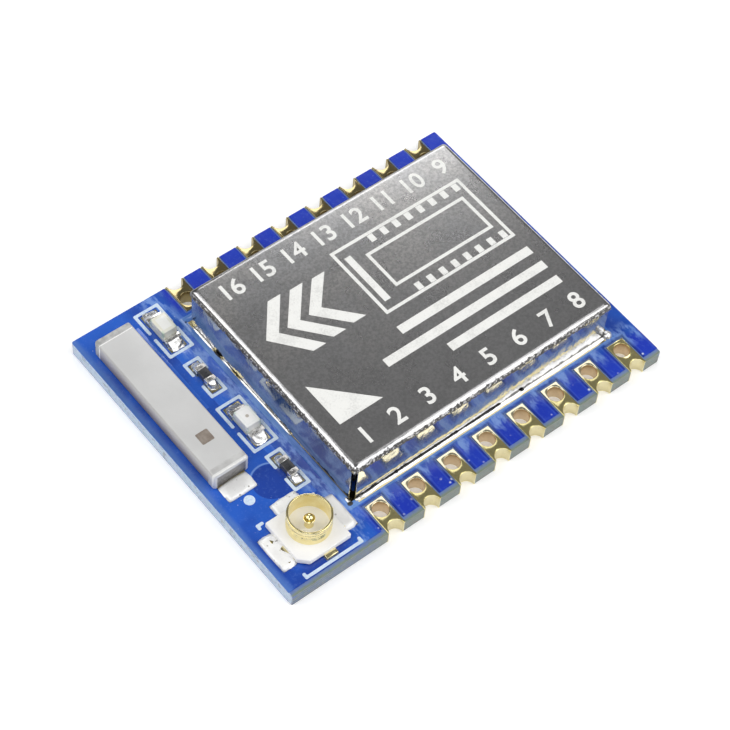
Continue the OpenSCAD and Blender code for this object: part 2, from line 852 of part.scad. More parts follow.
module memory_leads() {
    side = memory_w / 2;
    tip = memory_reach / 2;
    heel = tip - lead_foot;
    knee = side + lead_shoulder;
    mid = memory_h / 2;
    color("silver") at_can() translate(memory_at) at_memory_leads()
        rotate([90, 0, 90]) translate([0, 0, -lead_w / 2]) linear_extrude(lead_w)
            polygon([[side, mid - lead_t / 2], [side, mid + lead_t / 2], [knee, mid + lead_t / 2],
                [heel + lead_t / 2, lead_t], [tip, lead_t], [tip, 0], [heel - lead_t / 2, 0],
                [knee - lead_t, mid - lead_t / 2]]);
}

module memory_body() {
    side = memory_w / 2;
    mid = memory_h / 2;
    foot = side - memory_draft;
    corner = [2 * mark_r - memory_l / 2, 3 * mark_r - side];
    color("dimgray") at_can() translate(memory_at) difference() {
        rotate([90, 0, 90]) translate([0, 0, -memory_l / 2]) linear_extrude(memory_l)
            polygon([[-foot, memory_standoff], [foot, memory_standoff], [side, mid - lead_t / 2],
                [side, mid + lead_t / 2], [foot, memory_h], [-foot, memory_h],
                [-side, mid + lead_t / 2], [-side, mid - lead_t / 2]]);
        pin_mark(corner[0], corner[1], memory_h);
    }
}

module crystal_base() {
    color("tan") at_can() translate(crystal_at) difference() {
        block(crystal_l, crystal_w, crystal_base_t);
        for (sx = [-1, 1], sy = [-1, 1])
            translate([sx * crystal_l / 2, sy * crystal_w / 2, -past])
                cylinder(h = crystal_base_t + 2 * past, r = crystal_notch_r);
    }
}

module crystal_lid() {
    color("silver") at_can() translate(crystal_at) translate([0, 0, crystal_base_t])
        linear_extrude(crystal_lid_t)
            round_rect(crystal_l - 2 * crystal_rim, crystal_w - 2 * crystal_rim, crystal_rim);
}

// ---- Small parts under the can ----

module capacitor_bodies() {
    color("tan") at_can() at_each(capacitor_at) chip_body(chip_w, chip_l, capacitor_h);
}

module capacitor_ends() {
    color("silver") at_can() at_each(capacitor_at) chip_ends(chip_w, chip_l, capacitor_h, chip_end);
}

module pull_resistor_bodies() {
    color("dimgray") at_can() at_each(pull_at) chip_body(chip_w, chip_l, resistor_h);
}

module pull_resistor_ends() {
    color("silver") at_can() at_each(pull_at) chip_ends(chip_w, chip_l, resistor_h, chip_end);
}

module inductor_bodies() {
    color("lightsteelblue") at_can() at_each(inductor_at) chip_body(chip_w, chip_l, capacitor_h);
}

module inductor_ends() {
    color("silver") at_can() at_each(inductor_at) chip_ends(chip_w, chip_l, capacitor_h, chip_end);
}

module inner_solder() {
    color("lightgray") at_can()
        at_each(concat(capacitor_at, pull_at, inductor_at)) chip_fillets(chip_w, chip_l);
}

// ---- Nodes ----

laminate_core();
solder_mask_top();
solder_mask_bottom();
edge_pad(0);  // edge_pad_01
edge_pad(1);  // edge_pad_02
edge_pad(2);  // edge_pad_03
edge_pad(3);  // edge_pad_04
edge_pad(4);  // edge_pad_05
edge_pad(5);  // edge_pad_06
edge_pad(6);  // edge_pad_07
edge_pad(7);  // edge_pad_08
edge_pad(8);  // edge_pad_09
edge_pad(9);  // edge_pad_10
edge_pad(10);  // edge_pad_11
edge_pad(11);  // edge_pad_12
edge_pad(12);  // edge_pad_13
edge_pad(13);  // edge_pad_14
edge_pad(14);  // edge_pad_15
edge_pad(15);  // edge_pad_16
surface_lands();
legend_ink();
screening_can();
can_solder();
aerial_body();
aerial_feed_cap();
aerial_open_cap();
aerial_solder();
socket_base();
socket_shell();
socket_contact();
socket_solder();
power_lamp_base();
power_lamp_ends();
power_lamp_lens();
power_lamp_die();
status_lamp_base();
status_lamp_ends();
status_lamp_lens();
status_lamp_die();
lamp_resistor_bodies();
lamp_resistor_ends();
small_part_solder();
controller_body();
controller_pads();
memory_body();
memory_leads();
crystal_base();
crystal_lid();
capacitor_bodies();
capacitor_ends();
pull_resistor_bodies();
pull_resistor_ends();
inductor_bodies();
inductor_ends();
inner_solder();
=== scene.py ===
"""Finishes, finer meshes, camera and lights of the wireless module.

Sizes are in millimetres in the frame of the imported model: +Z is up, the aerial end is at -X, and
pads 1 to 8 run along the -Y edge. Meshes turn to metres when they are handed over.
"""

import logging
import math
from dataclasses import dataclass, field
from enum import Enum
from typing import Callable, Iterable, Optional, Sequence, Union

import bmesh
import bpy
from mathutils import Matrix, Vector, noise


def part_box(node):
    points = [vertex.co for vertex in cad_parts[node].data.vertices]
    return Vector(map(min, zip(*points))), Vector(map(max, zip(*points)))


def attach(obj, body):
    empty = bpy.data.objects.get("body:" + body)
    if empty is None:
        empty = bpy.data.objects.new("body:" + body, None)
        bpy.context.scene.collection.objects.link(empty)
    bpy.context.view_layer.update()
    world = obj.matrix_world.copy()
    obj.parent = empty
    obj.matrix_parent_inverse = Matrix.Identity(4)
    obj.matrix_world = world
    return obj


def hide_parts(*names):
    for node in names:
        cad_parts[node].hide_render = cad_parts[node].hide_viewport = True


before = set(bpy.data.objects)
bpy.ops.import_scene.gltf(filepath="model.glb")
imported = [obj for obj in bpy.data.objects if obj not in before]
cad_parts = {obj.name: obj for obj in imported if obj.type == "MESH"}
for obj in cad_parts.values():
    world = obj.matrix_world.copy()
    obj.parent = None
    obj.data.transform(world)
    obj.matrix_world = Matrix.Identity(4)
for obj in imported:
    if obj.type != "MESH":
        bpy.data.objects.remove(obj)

LOG = logging.getLogger("module")
MM = 0.001
FULL_TURN = 2 * math.pi
HAIR = 0.01  # a distance that counts as none, and how deep a thin part sinks into what it lies on

Point = Sequence[float]
Colour = tuple[float, float, float]
Number = Union[float, "Signal"]
Material = bpy.types.Material


class Side(Enum):
    """The four sides of the can, as the direction that each one faces."""

    AERIAL = (-1.0, 0.0)
    PLAIN = (1.0, 0.0)
    NEAR = (0.0, -1.0)
    FAR = (0.0, 1.0)


class LampRole(Enum):
    """The two lamps, by the start of their nodes' names."""

    POWER = "power_lamp"
    STATUS = "status_lamp"


# ---- Shader maths ----


@dataclass(frozen=True)
class Signal:
    """A node's output, with arithmetic that adds Math nodes."""

    net: "Net"
    socket: bpy.types.NodeSocket

    def _math(self, operation: str, *values: Number) -> "Signal":
        """Adds a Math node on the given values."""
        return self.net.add("ShaderNodeMath", {"operation": operation}, dict(enumerate(values)))

    def __add__(self, other: Number) -> "Signal":
        """Sum."""
        return self._math("ADD", self, other)

    __radd__ = __add__

    def __sub__(self, other: Number) -> "Signal":
        """Difference."""
        return self._math("SUBTRACT", self, other)

    def __rsub__(self, other: Number) -> "Signal":
        """Difference, reflected."""
        return self._math("SUBTRACT", other, self)

    def __mul__(self, other: Number) -> "Signal":
        """Product."""
        return self._math("MULTIPLY", self, other)

    __rmul__ = __mul__

    def __truediv__(self, other: Number) -> "Signal":
        """Quotient."""
        return self._math("DIVIDE", self, other)

    def __abs__(self) -> "Signal":
        """Size without its sign."""
        return self._math("ABSOLUTE", self)

    def larger(self, other: Number) -> "Signal":
        """The larger of two."""
        return self._math("MAXIMUM", self, other)

    def nearest(self, pitch: float) -> "Signal":
        """Distance to the nearest multiple of a pitch."""
        return self._math("PINGPONG", self, pitch / 2)

    def rise(self, low: float, high: float) -> "Signal":
        """Smooth climb from 0 at low to 1 at high."""
        ends = {"Value": self, "From Min": low, "From Max": high, "To Min": 0.0, "To Max": 1.0}
        return self.net.add("ShaderNodeMapRange", {"interpolation_type": "SMOOTHSTEP"}, ends)

    def fall(self, low: float, high: float) -> "Signal":
        """Smooth drop from 1 at low to 0 at high."""
        return 1 - self.rise(low, high)

    def between(self, low: float, high: float, soft: float) -> "Signal":
        """One between two values, and zero outside them, with soft ends."""
        return self.rise(low - soft, low + soft) * self.fall(high - soft, high + soft)


class Net:
    """One material and the nodes behind it."""

    def __init__(self, name: str) -> None:
        """Starts an empty material.

        Args:
            name: the material's name.
        """
        self.material = bpy.data.materials.new(name)
        self.material.use_nodes = True
        self.tree = self.material.node_tree
        self.tree.nodes.clear()
        place = self.add("ShaderNodeTexCoord", out="Object")
        self.place = self.add("ShaderNodeVectorMath", {"operation": "SCALE"}, {0: place, "Scale": 1 / MM})

    def add(
        self,
        kind: str,
        settings: Optional[dict[str, object]] = None,
        sockets: Optional[dict[Union[int, str], object]] = None,
        out: Union[int, str] = 0,
    ) -> Signal:
        """Adds a node.

        Args:
            kind: the node's type.
            settings: its settings, which are set first.
            sockets: values or links of its input sockets, by name or number.
            out: the output that is wanted.

        Returns:
            The wanted output.
        """
        node = self.tree.nodes.new(kind)
        for key, value in (settings or {}).items():
            setattr(node, key, value)
        for key, value in (sockets or {}).items():
            if isinstance(value, Signal):
                self.tree.links.new(value.socket, node.inputs[key])
            elif isinstance(value, tuple) and len(value) == 3 and node.inputs[key].type == "RGBA":
                node.inputs[key].default_value = (*value, 1.0)
            else:
                node.inputs[key].default_value = value
        return Signal(self, node.outputs[out] if node.outputs else node.inputs[0])

    def axes(self) -> tuple[Signal, Signal, Signal]:
        """X, Y and Z in millimetres."""
        node = self.add("ShaderNodeSeparateXYZ", sockets={0: self.place}).socket.node
        return tuple(Signal(self, output) for output in node.outputs)

    def cloud(
        self, scale: float, detail: float = 2.0, rough: float = 0.5, stretch: Point = (1, 1, 1),
    ) -> Signal:
        """Soft noise.

        Args:
            scale: patches to the millimetre.
            detail: octaves.
            rough: share of the finer octaves.
            stretch: scale along each axis.

        Returns:
            A value about 0.5.
        """
        where = self.add(
            "ShaderNodeMapping", {"vector_type": "POINT"}, {"Vector": self.place, "Scale": tuple(stretch)},
        )
        knobs = {"Vector": where, "Scale": scale, "Detail": detail, "Roughness": rough}
        return self.add("ShaderNodeTexNoise", sockets=knobs)

    def cells(self, scale: float) -> Signal:
        """Distance to the nearest of scattered points."""
        return self.add("ShaderNodeTexVoronoi", sockets={"Vector": self.place, "Scale": scale})

    def blend(self, low: Union[Colour, Signal], high: Union[Colour, Signal], share: Number) -> Signal:
        """Colour between two, by a share from 0 to 1."""
        return self.add("ShaderNodeMix", {"data_type": "RGBA"}, {0: share, 6: low, 7: high}, out=2)

    def over(self, tone: Union[Colour, Signal], *layers: tuple[Union[Colour, Signal], Number]) -> Signal:
        """Lays colours over a colour.

        Args:
            tone: the colour at the bottom.
            layers: colour and share of each layer, from the bottom up.

        Returns:
            The colour at the top.
        """
        for colour, share in layers:
            tone = self.blend(tone, colour, share)
        return tone

    def bump(self, height: Signal, depth: float) -> Signal:
        """Normal bent by a height from 0 to 1, which stands for a depth in millimetres."""
        return self.add("ShaderNodeBump", sockets={"Height": height, "Distance": depth * MM, "Strength": 1.0})

    def surface(self, **knobs: object) -> Material:
        """Closes the material with a Principled shader.

        Args:
            knobs: its sockets, with _ for each space.

        Returns:
            The material.
        """
        names = {key.replace("_", " "): value for key, value in knobs.items()}
        shader = self.add("ShaderNodeBsdfPrincipled", sockets=names)
        self.add("ShaderNodeOutputMaterial", sockets={"Surface": shader})
        return self.material


# ---- Finishes ----


@dataclass(frozen=True)
class Metal:
    """Plated, tinned or fired metal, with cloudy tone, fine grain and uneven polish."""

    name: str
    low: Colour
    high: Colour
    polish: tuple[float, float] = (0.18, 0.35)
    patch: float = 1.5
    grain: float = 14.0
    depth: float = 0.01
    metallic: float = 1.0
    flux: float = 0.0
    burnt: Colour = (0.09, 0.075, 0.05)

    def make(self) -> Material:
        """Builds the material.

        Returns:
            The material.
        """
        net = Net(self.name)
        patches = net.cloud(self.patch, 3.0, 0.6)
        grain = net.cloud(self.grain, 2.0, 0.7)
        marks = net.cells(4.5).fall(0.1, 0.3) * patches.rise(0.5, 0.62)
        tone = net.blend(self.low, self.high, (patches * 0.75 + grain * 0.25).rise(0.3, 0.7))
        bright, dull = self.polish
        return net.surface(
            Base_Color=net.blend(tone, self.burnt, marks * self.flux),
            Metallic=self.metallic,
            Roughness=patches.rise(0.3, 0.7) * (dull - bright) + bright,
            Normal=net.bump(grain * 0.4 + patches * 0.6, self.depth),
        )


@dataclass(frozen=True)
class Mineral:
    """Ceramic, moulding or chip coating: matt to satin, with specks and fine pores."""

    name: str
    low: Colour
    high: Colour
    speck: Colour
    rough: float = 0.45
    patch: float = 0.8
    pores: float = 9.0
    specks: float = 0.35
    depth: float = 0.006
    coat: float = 0.0

    def make(self) -> Material:
        """Builds the material.

        Returns:
            The material.
        """
        net = Net(self.name)
        patches = net.cloud(self.patch, 3.0, 0.6)
        pores = net.cloud(self.pores, 3.0, 0.65)
        dots = net.cells(self.pores * 0.8).fall(0.05, 0.25) * pores.rise(0.5, 0.65)
        tone = net.blend(self.low, self.high, patches.rise(0.3, 0.7))
        return net.surface(
            Base_Color=net.blend(tone, self.speck, dots * self.specks),
            Roughness=pores * 0.2 + (self.rough - 0.1),
            Coat_Weight=self.coat,
            Coat_Roughness=0.2,
            Normal=net.bump(pores + patches * 0.5, self.depth),
        )


@dataclass(frozen=True)
class Mask:
    """Glossy blue solder mask: saturated between the pads, with pale smears along the can's foot that are
    painted sheen, painted shade round each pad window and a painted highlight on its lip.
    """

    name: str
    deep: Colour = (0.012, 0.055, 0.36)
    full: Colour = (0.020, 0.115, 0.58)
    finger: Colour = (0.010, 0.032, 0.48)
    pale: Colour = (0.22, 0.38, 0.78)
    edge: Colour = (0.09, 0.20, 0.54)
    dark: Colour = (0.004, 0.014, 0.11)
    dust: Colour = (0.80, 0.85, 0.93)
    lift: float = 0.0
    disc_at: tuple[float, float] = (-7.87, -3.03)
    disc_r: float = 0.9

    def make(self) -> Material:
        """Builds the material.

        Returns:
            The material.
        """
        net = Net(self.name)
        x, y, z = net.axes()
        row = PadRow()
        can, board = span("screening_can")[0], span("laminate_core")[0]
        clouds = net.cloud(0.45, 2.0)
        streaks = net.cloud(1.7, 5.0, 0.66, (1.5, 0.6, 1.0))
        peel = net.cloud(3.2, 2.0)
        fine = net.cloud(7.0, 3.0, 0.7)
        specks = net.cells(2.6)
        # Where it is: on the top face, beside the pads, and beside those of the near edge.
        top = z.rise(0.3, 0.5)
        side = row.edge_y() - abs(y)
        by_pads = x.rise(row.first_x() - 1.0, row.first_x() - 0.6)
        by_near = y.fall(-1.0, 1.0) * top * by_pads
        # The channel round each window is painted shade, and its lip gets a painted highlight.
        window = ((x - row.first_x()).nearest(row.pitch) - row.window_w / 2).larger(side - row.window_l)
        shaded_channel = window.fall(0.0, 0.14) * by_near
        lip = window.between(0.12, 0.16, 0.04) * by_near
        # The dark disc by the socket, with a pale arc along its far side that is a painted highlight.
        off_x, off_y = x - self.disc_at[0], y - self.disc_at[1]
        reach = (off_x * off_x + off_y * off_y) / self.disc_r
        disc = reach.fall(self.disc_r - 0.08, self.disc_r) * top
        arc = reach.between(self.disc_r, self.disc_r + 0.16, 0.05) * off_y.rise(0.1, 0.4)
        # Pale smears along the can's foot, which are painted sheen, and dust and nicks near the edge.
        foot = side.between(1.1, 2.2, 0.3) * by_near
        beside = x.between(can.x - 1.2, can.x - 0.15, 0.3)
        painted_sheen = (streaks.rise(0.46, 0.62) * foot.larger(beside)).larger(arc * clouds.rise(0.3, 0.5)) * top
        dust = specks.fall(0.03, 0.07) * clouds.rise(0.42, 0.6)
        nicks = specks.fall(0.10, 0.20) * side.between(0.3, 0.75, 0.1) * by_near * clouds.rise(0.35, 0.5)
        tone = net.over(
            net.blend(self.deep, self.full, (clouds + self.lift).rise(0.3, 0.62)),
            (self.finger, (side + streaks * 0.4).fall(1.4, 2.0) * by_pads * 0.85),
            (self.edge, (x + streaks * 0.2).fall(board.x + 0.2, board.x + 0.5) * 0.8),
            (self.deep, disc),
            (self.pale, painted_sheen * 0.75),
            (self.dark, shaded_channel * 0.6),
            (self.pale, lip * 0.15),
            (self.pale, fine.rise(0.52, 0.72) * 0.12),
            (self.dust, (dust * 0.5).larger(nicks * 0.8)),
        )
        return net.surface(
            Base_Color=tone,
            Roughness=peel * 0.16 + 0.12,
            IOR=1.52,
            Normal=net.bump(peel * 0.5 + shaded_channel * -0.6 + streaks * 0.5, 0.02),
        )


@dataclass(frozen=True)
class PadGold:
    """Gold of the edge pads, with painted light: a pale painted highlight beside the can, olive outwards and
    brown on the far side as painted reflection, tan in the holes.
    """

    name: str = "pad_gold"
    pale: Colour = (0.97, 0.90, 0.64)
    olive: Colour = (0.88, 0.79, 0.38)
    brown: Colour = (0.40, 0.33, 0.17)
    barrel: Colour = (0.74, 0.67, 0.42)
    bore: Colour = (0.76, 0.61, 0.41)
    worn: Colour = (0.40, 0.32, 0.14)

    def make(self) -> Material:
        """Builds the material.

        Returns:
            The material.
        """
        net = Net(self.name)
        x, y, z = net.axes()
        low, high = span("edge_pad_01")
        last = span("edge_pad_08")[0].x
        cloud = net.cloud(1.6, 3.0, 0.6)
        grain = net.cloud(9.0, 2.0, 0.6)
        near = y.fall(-1.0, 1.0)
        side = PadRow().edge_y() - abs(y) + cloud * 0.25
        # Painted highlight: pale on the near pads beside the can.
        inner = side.rise(1.05, 1.25) * near * x.fall(last - 0.6, last - 0.4)
        lands = z.rise(high.z - 0.04, high.z - 0.015).larger(z.fall(low.z + 0.015, low.z + 0.04))
        # Painted reflection: olive on the near row, brown on the far row and its walls.
        flat = net.over(self.brown, (self.olive, near), (self.pale, inner))
        walls = net.blend(self.barrel, self.bore, side.rise(0.6, 0.8))
        return net.surface(
            Base_Color=net.over(
                self.brown, (walls, near), (flat, lands), (self.worn, grain.rise(0.55, 0.75) * 0.3),
            ),
            Metallic=1.0,
            Roughness=cloud * 0.12 + (1 - lands) * 0.18 + 0.08,
            Normal=net.bump(grain * 0.4 + cloud * 0.6, 0.006),
        )


@dataclass(frozen=True)
class CanSheet:
    """Nickel-silver sheet: satin and finely grained on top, bright on the walls and the folds, with painted
    shade on the top, under the folds and at the foot.
    """

    name: str = "can_sheet"
    tone: Colour = (0.58, 0.565, 0.555)
    cool: Colour = (0.51, 0.51, 0.52)
    stain: Colour = (0.20, 0.15, 0.09)
    soot: Colour = (0.03, 0.027, 0.025)
    shade: Colour = (0.43, 0.425, 0.43)
    gloom: Colour = (0.20, 0.20, 0.20)
    mottle: Colour = (0.33, 0.33, 0.33)
    fold: float = 0.3
    lean: float = 0.8

    def make(self) -> Material:
        """Builds the material.

        Returns:
            The material.
        """
        net = Net(self.name)
        _, y, z = net.axes()
        low, high = span("screening_can")
        grain = net.cloud(8.0, 3.0, 0.75)
        clouds = net.cloud(0.35, 2.0)
        dents = net.cloud(0.9, 2.0, 0.5, (1.0, 1.0, 0.8))
        ripples = net.cloud(3.2, 3.0, 0.6, (1.0, 1.0, 0.5))
        ragged = net.cloud(2.0, 3.0, 0.6, (1.0, 1.0, 0.2))
        jag = net.cloud(6.0, 2.0, 0.6, (1.0, 1.0, 0.4))
        flecks = net.cloud(7.0, 3.0, 0.7).rise(0.42, 0.50)
        flat = z.rise(high.z - 0.05, high.z - 0.005)
        bend = high.z - self.fold
        spots = net.cells(5.0).fall(0.1, 0.4) * net.cloud(2.2, 3.0).rise(0.55, 0.7)
        # Painted shade: black in a ragged gap at the foot and in a speckled band under the fold.
        gap = (z - ragged.rise(0.38, 0.62) * 0.24).fall(low.z + 0.03, low.z + 0.06)
        crease = (z + jag * 0.24).between(bend + 0.06, bend + 0.31, 0.025) * flecks
        tone = net.over(
            net.blend(self.tone, self.cool, clouds.rise(0.35, 0.65)),
            (self.stain, spots * z.fall(low.z + 0.2, low.z + 0.9) * 0.7),
            # Painted shade: the top darkens towards the near side.
            (self.shade, y.fall(low.y, high.y) * flat),
            (self.soot, gap.larger(crease * 0.92)),
            # Painted shade: a dark band along the far fold.
            (self.gloom, y.rise(high.y - 0.28, high.y - 0.16) * y.fall(high.y - 0.02, high.y)),
            (self.mottle, grain.rise(0.36, 0.64) * flat * 0.8),
        )
        uneven = grain * flat * 0.10 + (dents * 0.9 + ripples * 0.5) * (1 - flat)
        return net.surface(
            Base_Color=tone,
            Metallic=1 - crease * 0.95,
            Roughness=flat * 0.18 + dents * 0.06 + crease * 0.5 + 0.07,
            Normal=net.bump(uneven + z * self.lean, 0.02),
        )


@dataclass(frozen=True)
class Laminate:
    """Glass-cloth laminate, whose plies show as faint bands along the routed edge."""

    name: str = "laminate"
    resin: Colour = (0.19, 0.22, 0.20)
    glass: Colour = (0.34, 0.38, 0.36)
    snapped: Colour = (0.60, 0.72, 0.88)
    tinted: Colour = (0.12, 0.20, 0.48)
    burnt: Colour = (0.10, 0.11, 0.10)
    moss: Colour = (0.20, 0.25, 0.19)
    ply: float = 0.17
    weave: float = 0.5

    def make(self) -> Material:
        """Builds the material.

        Returns:
            The material.
        """
        net = Net(self.name)
        x, y, z = net.axes()
        _, high = span("laminate_core")
        fray = net.cloud(6.0, 3.0, 0.7, (1.0, 1.0, 2.5))
        frost = net.cloud(2.5, 4.0, 0.7, (1.0, 1.0, 1.6))
        cloth = (x.nearest(self.weave) * y.nearest(self.weave)).rise(0.0, 0.05)
        plies = (z + fray * 0.08).nearest(self.ply).rise(0.0, self.ply / 2)
        by_socket = x.fall(-6.4, -5.6) * frost.rise(0.3, 0.6) * 0.5
        by_ends = (abs(x) - high.x).rise(-0.5, -0.1) * (z + frost * 0.25).rise(0.60, 0.76)
        # Painted shade: the bare laminate's top is darkened, grey-green near the edge and blue further in.
        shelf = net.blend(self.moss, self.tinted, (high.y - abs(y) + frost * 0.16).rise(0.12, 0.30))
        # Painted highlight: pale blue-white on the end faces.
        ends = (abs(x) - frost * 0.12).rise(high.x - 0.12, high.x - 0.05)
        tone = net.over(
            net.blend(self.resin, self.glass, plies * 0.6 + cloth * 0.25),
            (self.tinted, by_ends.larger(by_socket) * 0.85),
            (shelf, z.rise(high.z - 0.03, high.z - 0.01) * 0.9),
            # Darker towards the bottom.
            (self.burnt, (z + fray * 0.1).fall(0.08, 0.20) * 0.6),
            (self.snapped, ends * (frost.rise(0.32, 0.5) * 0.7 + 0.25)),
            (self.burnt, fray.rise(0.55, 0.75) * 0.4),
        )
        return net.surface(
            Base_Color=tone,
            Roughness=fray * 0.3 + 0.45,
            Subsurface_Weight=0.15,
            Subsurface_Scale=0.3 * MM,
            Normal=net.bump(fray + plies * 0.4, 0.05),
        )


@dataclass(frozen=True)
class Glaze:
    """Fired ceramic of the aerial's body, with painted shade: darker and warmer down its flanks."""

    name: str = "aerial_ceramic"
    low: Colour = (0.57, 0.57, 0.565)
    high: Colour = (0.61, 0.61, 0.605)
    warm: Colour = (0.17, 0.125, 0.095)

    def make(self) -> Material:
        """Builds the material.

        Returns:
            The material.
        """
        net = Net(self.name)
        x, _, z = net.axes()
        low, high = span("aerial_body")
        half = (high.x - low.x) / 2
        clouds = net.cloud(0.5, 3.0, 0.6)
        pores = net.cloud(8.0, 3.0, 0.65)
        # Painted shade: the flanks darken and warm towards the bottom.
        flank = abs(x - (low.x + high.x) / 2).rise(half - 0.07, half - 0.01)
        down = (z + clouds * 0.3).fall(low.z + 0.1, high.z)
        tone = net.blend(self.low, self.high, clouds.rise(0.3, 0.7))
        return net.surface(
            Base_Color=net.blend(tone, self.warm, flank * (down * 0.65 + 0.3)),
            Roughness=pores * 0.2 + 0.26,
            Coat_Weight=0.2,
            Coat_Roughness=0.2,
            Normal=net.bump(pores + clouds * 0.5, 0.006),
        )


@dataclass(frozen=True)
class EndPaint:
    """Fired silver of one termination, with painted light: its end turns grey and gritty towards the bottom as
    painted shade, with a painted highlight line round it.
    """

    name: str
    node: str
    line_off: float
    body: Colour = (0.50, 0.495, 0.49)
    bright: Colour = (0.80, 0.80, 0.79)
    worn: Colour = (0.62, 0.62, 0.61)
    grit: Colour = (0.07, 0.065, 0.06)
    ash: Colour = (0.30, 0.29, 0.28)

    def make(self) -> Material:
        """Builds the material.

        Returns:
            The material.
        """
        net = Net(self.name)
        x, y, z = net.axes()
        low, high = span(self.node)
        fine = net.cloud(7.0, 4.0, 0.7)
        patches = net.cloud(2.2, 3.0, 0.6)
        end = y.fall(low.y + 0.04, low.y + 0.10)
        rim = (abs(x - (low.x + high.x) / 2) - (high.x - low.x) / 2).larger(z - high.z)
        # Painted highlights: round the rim of the end face, and a line across the top at the cap's inner end.
        lit = rim.between(-0.17, -0.02, 0.05) * end
        line = (y - (low.y + self.line_off)).between(-0.07, 0.06, 0.025) * (fine.rise(0.3, 0.5) * 0.4 + 0.6)
        # Painted shade: the end face darkens to gritty black towards the bottom.
        face = net.blend(self.grit, self.ash, (z + fine * 0.9).rise(low.z + 0.45, low.z + 1.15))
        return net.surface(
            Base_Color=net.over(
                self.body, (self.worn, patches.rise(0.3, 0.7)), (face, end), (self.bright, line.larger(lit)),
            ),
            Metallic=0.35,
            Roughness=patches * 0.3 + 0.3,
            Normal=net.bump(fine * 0.6 + patches * 0.4, 0.03),
        )


@dataclass(frozen=True)
class Resin:
    """Milky casting resin of one lamp, with a paler window over its die and faint green at its corners."""

    name: str
    node: str
    tint: Colour
    core: Colour
    window: Colour
    speck: float = 0.0
    green: Colour = (0.26, 0.50, 0.34)
    wire: Colour = (0.35, 0.28, 0.20)

    def make(self) -> Material:
        """Builds the material.

        Returns:
            The material.
        """
        net = Net(self.name)
        x, y, z = net.axes()
        low, high = span(self.node)
        middle, half = (low + high) / 2, (high - low) / 2
        off_x, off_y = abs(x - middle.x), abs(y - middle.y)
        milk = net.cloud(2.6, 3.0, 0.6)
        top = z.rise(high.z - 0.06, high.z - 0.02)
        inside = (off_x - half.x * 0.6).larger(off_y - half.y * 0.62).fall(-0.02, 0.03)
        corners = off_x.rise(half.x - 0.12, half.x - 0.03) * off_y.rise(half.y - 0.3, half.y - 0.08)
        tone = net.over(
            net.blend(self.tint, self.core, milk.rise(0.35, 0.7)),
            (self.window, inside * top * 0.9),
            (self.green, corners * milk.rise(0.4, 0.5) * 0.5),
            (self.wire, (off_x * off_x + off_y * off_y).fall(0.003, 0.010) * self.speck),
        )
        return net.surface(
            Base_Color=tone,
            Roughness=milk * 0.15 + 0.12,
            Transmission_Weight=0.05,
            IOR=1.5,
            Coat_Weight=0.3,
            Coat_Roughness=0.1,
            Normal=net.bump(milk, 0.01),
        )


@dataclass(frozen=True)
class Ink:
    """Screen-printed ink, slightly thin in places."""

    name: str
    tone: Colour
    thin: Colour
    rough: float = 0.5
    wear: float = 0.5

    def make(self) -> Material:
        """Builds the material.

        Returns:
            The material.
        """
        net = Net(self.name)
        screen = net.cloud(11.0, 3.0, 0.7)
        patches = net.cloud(1.2, 2.0)
        share = (screen * 0.6 + patches * 0.4).rise(0.45, 0.68) * self.wear
        return net.surface(
            Base_Color=net.blend(self.tone, self.thin, share),
            Roughness=screen * 0.2 + (self.rough - 0.1),
            Normal=net.bump(screen, 0.006),
        )


@dataclass(frozen=True)
class Backdrop:
    """Plain pale paper under the module."""

    name: str = "studio_paper"
    low: Colour = (0.93, 0.93, 0.93)
    high: Colour = (0.95, 0.95, 0.95)
    glow: float = 0.22

    def make(self) -> Material:
        """Builds the material.

        Returns:
            The material.
        """
        net = Net(self.name)
        return net.surface(
            Base_Color=net.blend(self.low, self.high, net.cloud(0.8, 3.0)),
            Roughness=0.9,
            Emission_Color=(1.0, 1.0, 1.0),
            Emission_Strength=self.glow,
        )


